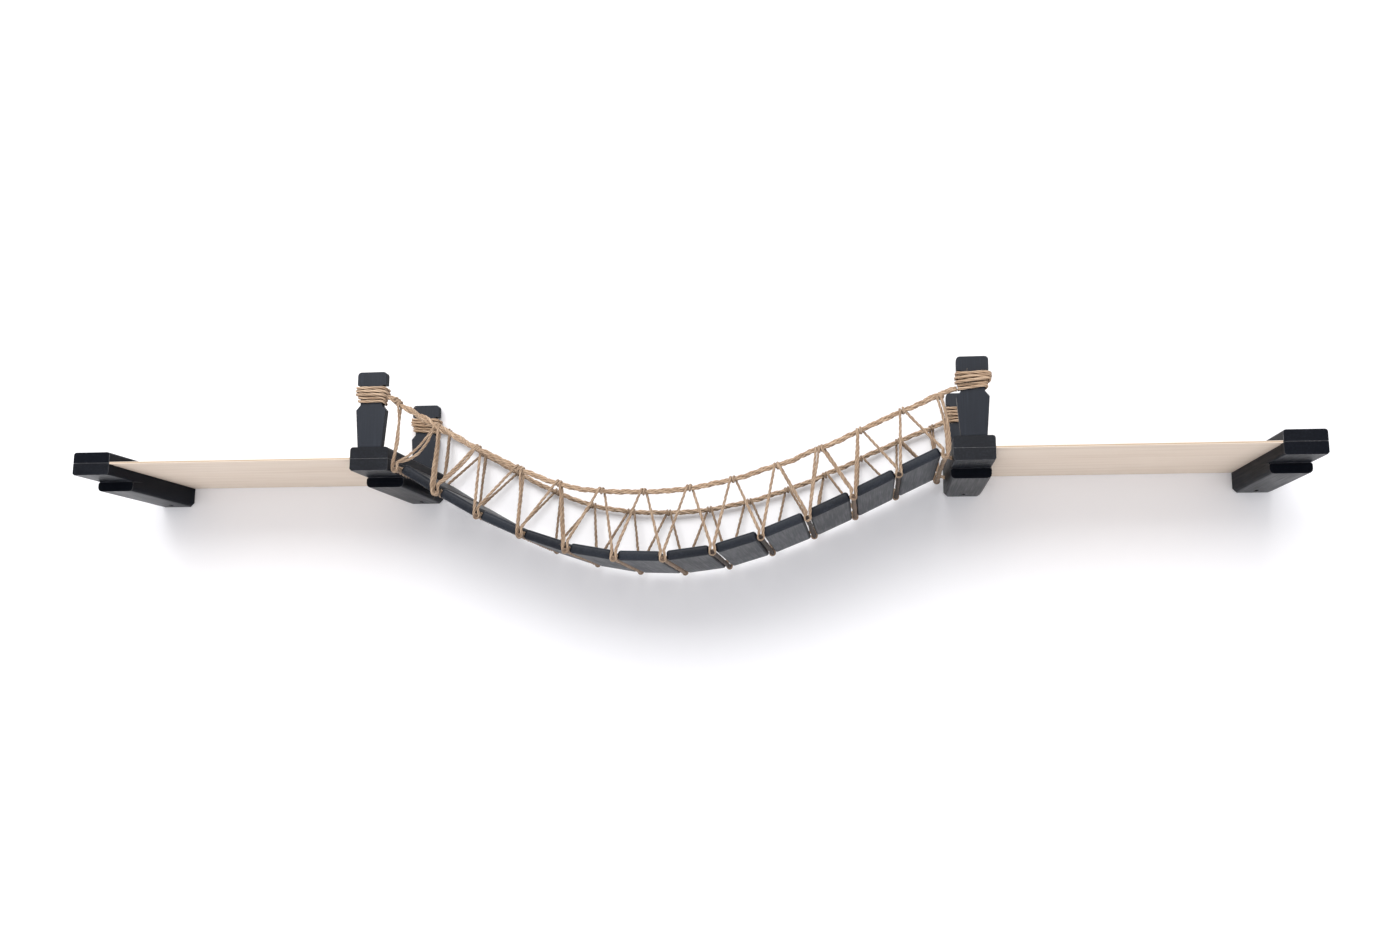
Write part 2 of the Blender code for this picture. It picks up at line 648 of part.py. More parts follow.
def build_lacing(label, depth, outward, crossings, parts, twine):
    """The zigzag twine: over the handrail at each knot and under a cross rope in each gap."""
    hook_depth = depth - outward * HOOK_INSET
    tail = Vector((0.0, 0.0, -HANDRAIL_DIAMETER))
    route = []
    for index, (place, slope) in enumerate(knot_places(len(crossings) + 1)):
        turn = knot_turn(place, slope, depth, outward)
        if index == 0:
            route.append(turn[0] + tail)
        route += turn
        if index < len(crossings):
            route += hook_turn(crossings[index], hook_depth)
        else:
            route.append(turn[-1] + tail)
    return tube(f"{label}_lacing", route, TWINE_DIAMETER, parts, twine, sides_resolution=1)


def main():
    """Build every piece."""
    parts, cutters = empty_scene()
    paint = make_material("painted_wood", (0.026, 0.030, 0.038), 0.5, 0.0)
    plywood = make_material("birch_plywood", (0.66, 0.57, 0.47), 0.6, 0.0)
    twine = make_material("jute_twine", (0.52, 0.35, 0.20), 0.9, 0.0)
    steel = make_material("screw_steel", (0.55, 0.55, 0.56), 0.35, 1.0)
    for label, middle, side in bracket_sides():
        arm = build_arm(label, middle, side, parts, cutters, paint)
        bar = build_top_bar(label, middle, side, parts, cutters, paint)
        for place, spot in zip(("front", "rear"), screw_places(middle, side)):
            turned_screw(f"{label}_{place}_clamp_screw", spot, 0.0, 0.0, parts, steel)
        if "inner" in label:
            cut_anchor_holes(arm, middle, cutters)
            hand = label.split("_")[0]
            for place, depth in (("front", FRONT_POST_PLACE), ("rear", REAR_POST_PLACE)):
                build_post(f"{hand}_{place}", middle, depth, bar, parts, cutters, paint)
                build_wrap(f"{hand}_{place}", middle, depth, parts, twine)
    for label, side in (("left", -1), ("right", 1)):
        build_panel(label, side * 1.5 * STUD_PITCH, parts, cutters, plywood)
    planks = plank_places()
    crossings = cross_rope_places(planks)
    build_planks(planks, parts, cutters, paint)
    build_cross_ropes(crossings, parts, twine)
    for label, depth in carrier_depths():
        build_carrier(label, depth, planks, parts, twine)
    for label, depth, outward in (("front", FRONT_POST_PLACE, -1), ("rear", REAR_POST_PLACE, 1)):
        build_handrail(label, depth, parts, twine)
        build_lacing(label, depth, outward, crossings, parts, twine)


main()
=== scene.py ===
"""Dresses a wall-mounted climbing bridge: painted brackets, posts and planks, plywood shelves, and ropes
twisted from jute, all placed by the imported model. It is laid out as an add-on and runs as a script."""
import json
import math

import bmesh
import bpy
import numpy as np
from bpy.props import FloatProperty, FloatVectorProperty, IntProperty, PointerProperty
from bpy.types import Operator, Panel, PropertyGroup
from mathutils import Matrix, Vector

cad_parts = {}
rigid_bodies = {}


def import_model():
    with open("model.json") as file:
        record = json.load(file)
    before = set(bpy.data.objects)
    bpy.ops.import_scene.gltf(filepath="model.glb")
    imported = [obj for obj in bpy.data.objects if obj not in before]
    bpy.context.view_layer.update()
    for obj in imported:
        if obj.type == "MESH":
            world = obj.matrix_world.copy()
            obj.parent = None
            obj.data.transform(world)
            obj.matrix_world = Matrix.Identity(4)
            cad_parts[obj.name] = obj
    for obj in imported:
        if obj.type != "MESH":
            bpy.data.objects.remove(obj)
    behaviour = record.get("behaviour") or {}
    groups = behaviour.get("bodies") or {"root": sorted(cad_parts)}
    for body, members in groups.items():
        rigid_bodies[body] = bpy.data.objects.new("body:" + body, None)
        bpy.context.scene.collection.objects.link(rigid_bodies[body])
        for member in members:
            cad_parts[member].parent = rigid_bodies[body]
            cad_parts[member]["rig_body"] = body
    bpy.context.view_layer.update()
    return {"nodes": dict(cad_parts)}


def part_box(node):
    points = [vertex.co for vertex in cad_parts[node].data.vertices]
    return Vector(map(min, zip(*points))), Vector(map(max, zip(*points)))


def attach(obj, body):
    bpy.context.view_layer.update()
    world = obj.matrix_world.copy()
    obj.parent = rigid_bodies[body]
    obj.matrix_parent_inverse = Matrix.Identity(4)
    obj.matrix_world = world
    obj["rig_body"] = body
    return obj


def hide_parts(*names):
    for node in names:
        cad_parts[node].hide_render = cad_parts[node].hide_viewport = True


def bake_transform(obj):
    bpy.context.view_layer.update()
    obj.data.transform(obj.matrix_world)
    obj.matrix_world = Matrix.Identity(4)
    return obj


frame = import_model()

bl_info = {
    "name": "Plank Bridge Dressing",
    "version": (1, 0, 0),
    "blender": (4, 5, 0),
    "location": "3D View > Sidebar > Plank Bridge",
    "description": "Builds the painted wood, plywood and twisted ropes of a climbing bridge",
    "category": "Object",
}

SIDES = ("front", "rear")
BRACKETS = ("left_end", "left_inner", "right_inner", "right_end")
INNER_BRACKETS = ("left_inner", "right_inner")
OUTWARD = {"front": -1.0, "rear": 1.0}
# The directions that the wood's grain runs in
ALONG_WALL, OUT_OF_WALL, UP = (1.0, 0.0, 0.0), (0.0, 1.0, 0.0), (0.0, 0.0, 1.0)

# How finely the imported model's points are told apart
WELD_DISTANCE = 0.00002
FLAT_ANGLE = math.radians(1.0)
SHARP_ANGLE = math.radians(40.0)
SMOOTH_ANGLE = math.radians(38.0)
RING_SPACE = 0.002
KNOT_SPACE = 0.020
KNOT_OUTSTAND = 0.003

# How much of its paint a rubbed edge has lost. An inner arm's joint edge is painted fully pale, as a painted
# highlight
EDGE_WEAR = 0.35
POST_EDGE_WEAR = 0.15
# How far a face's normal leans its way for it to be a side, a front or an edge. Paint is less glossy and
# painted darker, as painted shade, on sides and on the heels, which stand back behind the front, and on some
# fronts
LEAN = 0.5
SET_BACK = 0.030
DULL_SHADED_FRONTS = {"left_end_bracket_top_bar": 0.7, "right_end_bracket_top_bar": 0.5,
               "right_end_bracket_arm": 0.7, "right_front_rope_post": 0.35}

# Strands beside the zigzag: knot and gap counted from the left, their number, and how far they bow to
# the right and down
EXTRA_STRANDS = {
    "front": ((0, 0, 1, 0.0048, 0.0006), (1, 0, 1, 0.0033, 0.0065), (1, 1, 3, 0.0005, 0.0010),
              (2, 1, 1, 0.0020, 0.0040), (3, 3, 1, 0.0012, 0.0010), (4, 4, 1, 0.0004, 0.0008),
              (9, 9, 1, 0.0006, 0.0012), (10, 9, 1, 0.0006, 0.0012), (10, 10, 1, 0.0006, 0.0012),
              (11, 10, 1, 0.0004, 0.0008), (12, 12, 1, 0.0015, 0.0030), (13, 12, 4, 0.0030, 0.0000)),
    "rear": ((0, 0, 1, 0.0008, 0.0015), (1, 1, 1, 0.0008, 0.0015), (10, 9, 3, -0.0025, 0.0012),
             (12, 12, 1, 0.0010, 0.0020), (13, 12, 1, 0.0010, 0.0020)),
}
# Slack stretches of the zigzag itself, by knot and gap, and how far they bow to the right and down
SLACK_STRETCHES = {
    "front": {(1, 0): (0.0062, 0.0125), (2, 1): (0.0008, 0.0015), (12, 12): (0.0006, 0.0012),
              (13, 12): (0.0034, 0.0000)},
    "rear": {},
}
# Strands that thicken a handrail: from which knot to which, their number, and how far they stand off
RAIL_STRANDS = {
    "front": ((-1, 2, 2, 0.0032), (12, 14, 1, 0.0026)),
    "rear": ((-1, 1, 1, 0.0030), (12, 14, 1, 0.0026)),
}
# A wrap's layers with their turns, how much higher its turns lie at the right than at the left, and how
# much they bulge there
WRAP_LAYERS = ((0, 5), (1, 3))
WRAP_SLANTS = {"left_front": 0.0000, "left_rear": -0.0015, "right_front": 0.0030, "right_rear": 0.0010}
WRAP_BIASES = {"left_front": 0.0000, "left_rear": 0.0005, "right_front": 0.0016, "right_rear": 0.0005}
# The radius of a wrap's corners and the distance of its layers, in radii of the twine, how much of the
# first layer the second leaves bare below, how unevenly turns lie, and how they bulge to their middle
CORNER_SHARE, LAYER_SHARE, BARE_SHARE, WAVER_SHARE = 1.15, 1.5, 0.36, 0.10
CORNER_POINTS, END_SWELL, SWELL_GAIN = 6, 0.80, 0.35
# A hitch has so many points a turn. A hook has so many under its rope, and its strands start so far in.
# A strand that bows has so many from end to end
HITCH_POINTS, HOOK_POINTS, TRUNK_SHARE, BOW_POINTS = 12, 9, 0.62, 9
HAIRY_GAPS = (6, 7, 8)
# How much darker than clean fibre the cross rope in each gap is painted, from the left, as painted shade of
# the gap between the planks, and above 1 how far it goes to the gap's deep painted shade
CROSS_ROPE_DUST_AND_SHADE = (0.6, 0.6, 0.6, 0.6, 0.6, 0.6, 0.7, 1.6, 1.7, 1.7, 0.9, 1.6, 0.6)
# The same of the other ropes, partly dirt and partly painted shade; the rear lacing is darker as painted
# shade
HANDRAIL_DUST_AND_SHADE, CARRIER_DUST_AND_SHADE = 0.10, 0.25
LACING_DUST_AND_SHADE = {"front": 0.33, "rear": 0.45}
# Where each rope's random draws start
HANDRAIL_SEEDS = {"front": 5, "rear": 4}
LACING_SEEDS = {"front": 45, "rear": 44}
CARRIER_SEEDS = {"front": 95, "rear": 94}
WRAP_SEED, CROSS_ROPE_SEED = 10, 70
# How far along the grain the pattern of each post and shelf is moved, so that no two look the same
POST_GRAIN_SHIFTS = {"left_front": 10.1, "left_rear": 8.8, "right_front": 11.0, "right_rear": 9.7}
SHELF_GRAIN_SHIFTS = {"left": 9.2, "right": 11.5}


def colour_property(name, description, default):
    """A setting for a colour."""
    return FloatVectorProperty(
        name=name, description=description, default=default, subtype="COLOR", size=3, min=0.0, max=1.0)


def length_property(name, description, default, least=0.0):
    """A setting for a length."""
    return FloatProperty(
        name=name, description=description, default=default, subtype="DISTANCE", unit="LENGTH", min=least)


class PlankBridgeWood(PropertyGroup):
    """Sizes and colours of the painted and the plain wood."""

    paint_colour: colour_property("Paint", "Black paint with a faint blue tint", (0.0045, 0.0056, 0.0090))
    paint_light_colour: colour_property(
        "Brushed paint", "Paint where the brush or the grain left it thinner", (0.031, 0.037, 0.050))
    # Paint rubbed pale on the edges, and a painted highlight on an inner arm's joint edge
    worn_and_highlight_colour: colour_property("Worn edge", "Paint rubbed pale on the edges", (0.36, 0.36, 0.37))
    veneer_colour: colour_property("Veneer", "Outer birch veneer of a shelf", (0.74, 0.625, 0.52))
    veneer_dark_colour: colour_property(
        "Veneer grain", "Darker growth lines in the veneer", (0.62, 0.50, 0.395))
    core_colour: colour_property("Core", "Middle ply, seen on a shelf's edges", (0.45, 0.33, 0.22))
    edge_width: length_property("Edge width", "Width of a rubbed edge", 0.0008, 0.0001)
    bracket_edge_width: length_property(
        "Bracket edge width", "Width of a rubbed edge of a bracket, seen along its joint", 0.0015, 0.0001)
    veneer_thickness: length_property("Veneer thickness", "Thickness of a shelf's outer ply", 0.0009, 0.0001)


class PlankBridgeRopes(PropertyGroup):
    """Sizes and colours of the jute."""

    straw_colour: colour_property("Straw", "Pale fibres on a ply's crown", (0.66, 0.485, 0.338))
    tan_colour: colour_property("Tan", "Most of the fibres", (0.46, 0.312, 0.202))
    russet_colour: colour_property("Russet", "Reddish fibres", (0.34, 0.185, 0.115))
    bark_colour: colour_property("Bark", "Dark flecks of bark", (0.115, 0.066, 0.034))
    # Painted shade in the creases between the plies
    crease_shade_colour: colour_property("Crease", "Dust in the creases between the plies", (0.120, 0.078, 0.052))
    # Deep painted shade of the cross ropes in the gaps between the planks
    gap_shade_colour: colour_property("Soiled", "Cross ropes that use has blackened", (0.016, 0.011, 0.010))
    twine_diameter: length_property("Twine", "Diameter of the lacing twine", 0.0046, 0.0005)
    rail_diameter: length_property(
        "Handrail", "Diameter of the handrail over its three twines", 0.0078, 0.0005)
    carrier_diameter: length_property("Carrier", "Diameter of the ropes through the planks", 0.005, 0.0005)
    cross_diameter: length_property("Cross rope", "Diameter of the ropes between the planks", 0.0064, 0.0005)
    lay_share: FloatProperty(
        name="Lay", description="Length of one twist of the plies, in diameters", default=5.2, min=1.0)
    tight_share: FloatProperty(
        name="Tight", description="Girth of the twine where it is pulled tight in a knot, as a share",
        default=0.80, min=0.1, max=1.0)
    wrap_share: FloatProperty(
        name="Wrap", description="Girth of the twine drawn tight round a post, as a share",
        default=0.89, min=0.1, max=1.0)
    trunk_height: length_property(
        "Trunk", "Height over a cross rope where two strands of the lacing meet", 0.011)
    step: length_property("Step", "Distance between the rings of a ply", 0.0019, 0.0002)
    ply_sides: IntProperty(name="Sides", description="Sides of a ply", default=7, min=3)
    hairs_per_metre: IntProperty(
        name="Hairs", description="Loose fibres on a metre of twine", default=90, min=0)
    hair_length: length_property("Hair length", "Length of a loose fibre", 0.0042)


class PlankBridgeStage(PropertyGroup):
    """Camera, light and the plain room."""

    camera_place: FloatVectorProperty(
        name="Camera", description="Place of the camera", subtype="TRANSLATION", unit="LENGTH", size=3,
        default=(0.26510, -1.91918, -0.29636))
    camera_turn: FloatVectorProperty(
        name="Turn", description="Rotation of the camera", subtype="EULER", unit="ROTATION", size=3,
        default=(math.radians(99.2984), math.radians(-0.2181), math.radians(7.2668)))
    focal_length: FloatProperty(
        name="Lens", description="Focal length on a 36 mm wide frame", subtype="DISTANCE_CAMERA",
        unit="CAMERA", default=33.43, min=1.0)
    room_colour: colour_property("Room", "Colour of the wall and the floor", (0.86, 0.86, 0.87))
    seen_colour: colour_property(
        "Seen room", "Colour of the wall and the floor as the camera sees them", (0.99, 0.985, 1.0))
    sky_strength: FloatProperty(
        name="Soft light", description="Strength of the light from all sides", default=0.81, min=0.0)
    mirrored_strength: FloatProperty(
        name="Mirrored light", description="Strength of the dim room in front, as shiny paint mirrors it",
        default=0.25, min=0.0)
    key_power: FloatProperty(
        name="Key light", description="Power of the large lamp above", subtype="POWER", unit="POWER",
        default=76.0, min=0.0)
    floor_height: FloatProperty(
        name="Floor", description="Height of the floor", subtype="DISTANCE", unit="LENGTH", default=-1.30)


class PlankBridgeSettings(PropertyGroup):
    """All settings of the bridge's dressing."""

    wood: PointerProperty(type=PlankBridgeWood, name="Wood", description="Painted and plain wood")
    ropes: PointerProperty(type=PlankBridgeRopes, name="Ropes", description="Jute twine and ropes")
    stage: PointerProperty(type=PlankBridgeStage, name="Stage", description="Camera, light and room")


def points_of(node):
    """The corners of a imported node, as rows of X, Y and Z."""
    corners = frame["nodes"][node].data.vertices
    flat = np.empty(len(corners) * 3, np.float32)
    corners.foreach_get("co", flat)
    return flat.reshape(-1, 3).astype(float)


def groups_along(points, apart):
    """Groups of points that lie together in X, from left to right."""
    points = points[np.argsort(points[:, 0])]
    return np.split(points, np.nonzero(np.diff(points[:, 0]) > apart)[0] + 1)


def middle_of(points):
    """The middle of the box round some points."""
    return (points.min(axis=0) + points.max(axis=0)) / 2


def rope_line(node):
    """The middle line of a rope that runs along X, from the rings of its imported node."""
    return np.array([middle_of(ring) for ring in groups_along(points_of(node), RING_SPACE)])


def knots_of(side):
    """Where a side's lacing crosses its handrail, with the handrail's direction there."""
    rail = rope_line(f"{side}_handrail")
    points = points_of(f"{side}_lacing")
    outer = points[(points[:, 1] - rail[0, 1]) * OUTWARD[side] > KNOT_OUTSTAND]
    knots = []
    for group in groups_along(outer, KNOT_SPACE):
        across = middle_of(group)[0]
        place = np.array((across, rail[0, 1], np.interp(across, rail[:, 0], rail[:, 2])))
        before, after = (np.interp(across + reach, rail[:, 0], rail[:, 2])
                         for reach in (-RING_SPACE, RING_SPACE))
        slope = np.array((2 * RING_SPACE, 0.0, after - before))
        knots.append((place, slope / np.linalg.norm(slope)))
    return knots


def crossings():
    """The middle of each cross rope in X and Z, with its two ends in Y."""
    places = []
    for name in nodes_called("cross_rope"):
        low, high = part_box(name)
        places.append((name, (low.x + high.x) / 2, (low.z + high.z) / 2, low.y, high.y))
    return places


def hook_depth(side):
    """The depth at which a side's lacing passes under the cross ropes."""
    points = points_of(f"{side}_lacing")
    return middle_of(points[points[:, 2] < points[:, 2].min() + KNOT_OUTSTAND])[1]


def placed(name, content):
    """A new object in the scene."""
    made = bpy.data.objects.new(name, content)
    bpy.context.scene.collection.objects.link(made)
    return made


def mesh_from(shape, name):
    """A mesh of an edited shape, which is freed."""
    mesh = bpy.data.meshes.new(name)
    shape.to_mesh(mesh)
    shape.free()
    return mesh


def add_piece(name, mesh, material, body, slot, *nodes):
    """Put a mesh into the scene as a piece that rides on a body and stands for some nodes."""
    piece = placed(name, mesh)
    mesh.materials.append(material)
    if body:
        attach(piece, body)
    if nodes:
        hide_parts(*nodes)
    return piece


def nodes_called(start):
    """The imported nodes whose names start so, from the left."""
    return sorted(node for node in frame["nodes"] if node.startswith(start))


def body_of(node):
    """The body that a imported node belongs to."""
    return frame["nodes"][node]["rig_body"]


class Shader:
    """A material's node tree, with short calls for the nodes that these finishes use."""

    def __init__(self, name):
        self.material = bpy.data.materials.new(name)
        self.material.use_nodes = True
        self.tree = self.material.node_tree
        self.principled = self.tree.nodes["Principled BSDF"]

    def node(self, kind, **values):
        """A new node with some of its properties set."""
        made = self.tree.nodes.new(kind)
        for key, value in values.items():
            setattr(made, key, value)
        return made

    def put(self, socket, value):
        """Link or set a socket."""
        if isinstance(value, bpy.types.NodeSocket):
            self.tree.links.new(value, socket)
        elif hasattr(value, "__len__") and len(value) == 3 and socket.type == "RGBA":
            socket.default_value = (*value, 1.0)
        else:
            socket.default_value = value

    def attribute(self, name, output):
        """A value that the mesh carries."""
        return self.node("ShaderNodeAttribute", attribute_name=name).outputs[output]

    def noise(self, vector, along, across, detail=3.0, roughness=0.55):
        """Noise from 0 to 1, by how often it changes in a metre along and across the grain."""
        stretched = self.node("ShaderNodeVectorMath", operation="MULTIPLY")
        self.put(stretched.inputs[0], vector)
        self.put(stretched.inputs[1], (along, across, across))
        node = self.node("ShaderNodeTexNoise")
        self.put(node.inputs["Vector"], stretched.outputs["Vector"])
        for name, value in (("Scale", 1.0), ("Detail", detail), ("Roughness", roughness)):
            node.inputs[name].default_value = value
        return node.outputs["Fac"]

    def math(self, operation, first, second):
        """A number worked out from two."""
        node = self.node("ShaderNodeMath", operation=operation)
        self.put(node.inputs[0], first)
        self.put(node.inputs[1], second)
        return node.outputs[0]

    def times(self, first, second):
        """The product of two numbers."""
        return self.math("MULTIPLY", first, second)

    def plus(self, first, second):
        """The sum of two numbers."""
        return self.math("ADD", first, second)

    def between(self, value, low, high, start=0.0, end=1.0):
        """A number carried from one range to another, smoothly and within its limits."""
        node = self.node("ShaderNodeMapRange", interpolation_type="SMOOTHSTEP")
        for socket, given in zip(node.inputs, (value, low, high, start, end)):
            self.put(socket, given)
        return node.outputs["Result"]

    def mix(self, share, first, second):
        """A colour between two."""
        node = self.node("ShaderNodeMix", data_type="RGBA")
        for index, given in ((0, share), (6, first), (7, second)):
            self.put(node.inputs[index], given)
        return node.outputs[2]

    def bump(self, height, distance, strength):
        """A surface raised by a height."""
        node = self.node("ShaderNodeBump")
        self.put(node.inputs["Height"], height)
        node.inputs["Distance"].default_value = distance
        node.inputs["Strength"].default_value = strength
        return node.outputs["Normal"]

    def finish(self, **sockets):
        """Set the Principled shader's sockets, named with _ for each space."""
        for key, value in sockets.items():
            self.put(self.principled.inputs[key.replace("_", " ").title().replace("Ior", "IOR")], value)
        return self.material


def paint_material():
    """Half-matt black paint over planed wood: brush streaks, faint grain and rubbed edges, a painted
    highlight on the inner arms' joint edges, and painted shade with less gloss on sides, heels and some
    fronts.
    """
    wood = bpy.context.scene.plank_bridge.wood
    shader = Shader("black_paint")
    grain = shader.attribute("grain", "Vector")
    streaks = shader.noise(grain, along=14.0, across=420.0)
    clouds = shader.noise(grain, along=9.0, across=30.0, detail=2.0)
    pores = shader.noise(grain, along=90.0, across=1500.0, detail=2.0)
    brushed = shader.times(shader.between(streaks, 0.38, 0.82),
                          shader.between(clouds, 0.30, 0.70, 0.15, 0.55))
    # Marked faces get less gloss and a darker colour: painted shade on sides, heels and some fronts
    dull_and_shaded = shader.attribute("dull_and_shaded", "Fac")
    thin = shader.attribute("thin", "Fac")
    thin = shader.plus(shader.times(thin, 0.85), shader.times(brushed, 0.9))
    thin = shader.times(thin, shader.between(dull_and_shaded, 0.0, 1.0, 1.0, 0.3))
    colour = shader.mix(thin, wood.paint_colour, wood.paint_light_colour)
    chips = shader.between(shader.noise(grain, along=160.0, across=260.0, detail=4.0), 0.46, 0.66)
    # Rubbed edges: worn pale paint, and on an inner arm's joint edge a painted highlight
    rub = shader.times(shader.attribute("edge_wear_and_highlight", "Fac"), shader.math("MAXIMUM", chips, 0.5))
    colour = shader.mix(rub, colour, wood.worn_and_highlight_colour)
    gloss = shader.between(rub, 0.0, 1.0, 0.22, 0.50)
    gloss = shader.times(gloss, shader.between(dull_and_shaded, 0.0, 1.0, 1.0, 0.2))
    height = shader.plus(streaks, shader.times(pores, 0.45))
    sheen = shader.plus(shader.times(streaks, 0.6), shader.times(clouds, 0.4))
    return shader.finish(
        base_color=colour, roughness=shader.between(sheen, 0.34, 0.66, 0.33, 0.46),
        normal=shader.bump(height, distance=0.00014, strength=0.5), specular_ior_level=gloss)


def plywood_material():
    """Sanded birch plywood: pale faces with faint growth lines and a darker core on the edges."""
    wood = bpy.context.scene.plank_bridge.wood
    shader = Shader("birch_ply")
    grain = shader.attribute("grain", "Vector")
    lines = shader.noise(grain, along=3.5, across=95.0, detail=5.0, roughness=0.6)
    pores = shader.noise(grain, along=60.0, across=2400.0, detail=2.0)
    clouds = shader.noise(grain, along=4.0, across=9.0, detail=2.0)
    dark = shader.times(shader.between(lines, 0.42, 0.72), 0.55)
    dark = shader.plus(dark, shader.times(shader.between(clouds, 0.35, 0.75), 0.25))
    face = shader.mix(dark, wood.veneer_colour, wood.veneer_dark_colour)
    core = shader.attribute("core", "Fac")
    colour = shader.mix(core, face, wood.core_colour)
    height = shader.plus(shader.times(lines, 0.4), pores)
    return shader.finish(
        base_color=colour, roughness=shader.between(clouds, 0.3, 0.7, 0.50, 0.62),
        normal=shader.bump(height, distance=0.00012, strength=0.5), specular_ior_level=0.35)


def jute_material():
    """Jute: long fibres of straw, tan and russet, flecked with bark, matt and hairy, with painted shade in
    the creases between the plies and on the darker pieces.
    """
    ropes = bpy.context.scene.plank_bridge.ropes
    shader = Shader("jute")
    fibre = shader.attribute("fibre", "Vector")
    tone = shader.attribute("tone", "Fac")
    fine = shader.noise(fibre, along=70.0, across=5200.0, detail=3.0, roughness=0.65)
    wide = shader.noise(fibre, along=28.0, across=1300.0, detail=2.0)
    flecks = shader.noise(fibre, along=210.0, across=2600.0, detail=2.0)
    patches = shader.noise(fibre, along=16.0, across=160.0, detail=2.0)
    pale = shader.between(shader.plus(fine, shader.times(tone, 0.30)), 0.46, 0.84)
    colour = shader.mix(pale, ropes.tan_colour, ropes.straw_colour)
    red = shader.times(shader.between(patches, 0.50, 0.70), shader.between(wide, 0.42, 0.62))
    colour = shader.mix(shader.times(red, 0.75), colour, ropes.russet_colour)
    bark = shader.times(shader.between(flecks, 0.60, 0.74), 0.8)
    colour = shader.mix(bark, colour, ropes.bark_colour)
    # Painted shade in the creases between the plies, over each piece's dirt and painted shade all over
    crease = shader.attribute("crease", "Fac")
    colour = shader.mix(crease, colour, ropes.crease_shade_colour)
    # Past 1, the cross ropes turn to the deep painted shade of their gap
    colour = shader.mix(shader.between(crease, 1.0, 2.0), colour, ropes.gap_shade_colour)
    return shader.finish(
        base_color=colour, roughness=shader.between(fine, 0.3, 0.7, 0.80, 0.95),
        normal=shader.bump(shader.plus(fine, wide), distance=0.00030, strength=0.8),
        specular_ior_level=0.25, sheen_weight=0.15, sheen_roughness=0.5)


def steel_material():
    """Zinc plated screw steel, with fine turning marks."""
    shader = Shader("zinc_steel")
    place = shader.node("ShaderNodeTexCoord").outputs["Object"]
    marks = shader.noise(place, along=900.0, across=900.0, detail=3.0)
    colour = shader.mix(marks, (0.42, 0.42, 0.44), (0.66, 0.66, 0.67))
    return shader.finish(
        base_color=colour, metallic=1.0, roughness=shader.between(marks, 0.3, 0.7, 0.28, 0.46),
        normal=shader.bump(marks, distance=0.00005, strength=0.5))


def material_named(name, maker):
    """The material of that name, made when it is first asked for."""
    return bpy.data.materials.get(name) or maker()


def resampled(points, spacing):
    """Points evenly spaced along straight runs between the given ones, which may carry a girth too."""
    points = np.asarray(points, float)
    travelled = lengths_along(points[:, :3])
    steps = np.linspace(0.0, travelled[-1], max(int(round(travelled[-1] / spacing)), 3) + 1)
    return np.stack([np.interp(steps, travelled, column) for column in points.T], axis=1)


def relaxed(points, passes):
    """The points with their corners rounded and their ends kept."""
    points = points.copy()
    for _ in range(passes):
        points[1:-1] = points[:-2] / 4 + points[1:-1] / 2 + points[2:] / 4
    return points


def wandering(line, random, reach, spacing=0.022):
    """The line, its points led astray a little, but not its ends."""
    travelled = lengths_along(line[:, :3])
    marks = np.arange(0.0, travelled[-1] + 2 * spacing, spacing)
    fade = np.clip(np.minimum(travelled, travelled[-1] - travelled) / spacing, 0.0, 1.0)
    astray = line.copy()
    for axis in range(3):
        offsets = np.interp(travelled, marks, random.normal(0.0, reach, len(marks)))
        astray[:, axis] += relaxed(offsets[:, None], passes=12)[:, 0] * fade
    return astray


def moving_frames(line):
    """The line's direction and, carried along without a twist, two directions square to it."""
    tangents = np.gradient(line, axis=0)
    tangents /= np.linalg.norm(tangents, axis=1)[:, None]
    normals = np.empty_like(tangents)
    normal = np.eye(3)[np.argmin(np.abs(tangents[0]))]
    for index, tangent in enumerate(tangents):
        normal = normal - tangent * (normal @ tangent)
        normal = normal / np.linalg.norm(normal)
        normals[index] = normal
    return tangents, normals, np.cross(tangents, normals)


def lengths_along(line):
    """The distance of each point along its line."""
    return np.concatenate(([0.0], np.cumsum(np.linalg.norm(np.diff(line, axis=0), axis=1))))


def twisted(line, reach, count, lay, start=0.0):
    """The lines of several plies that wind round a line at a reach from it."""
    _, normals, binormals = moving_frames(line)
    turns = 2 * math.pi * (lengths_along(line) / lay + start)
    reach = np.broadcast_to(reach, len(line))[:, None]
    lines = []
    for ply in range(count):
        angle = (turns + 2 * math.pi * ply / count)[:, None]
        lines.append(line + (np.cos(angle) * normals + np.sin(angle) * binormals) * reach)
    return lines


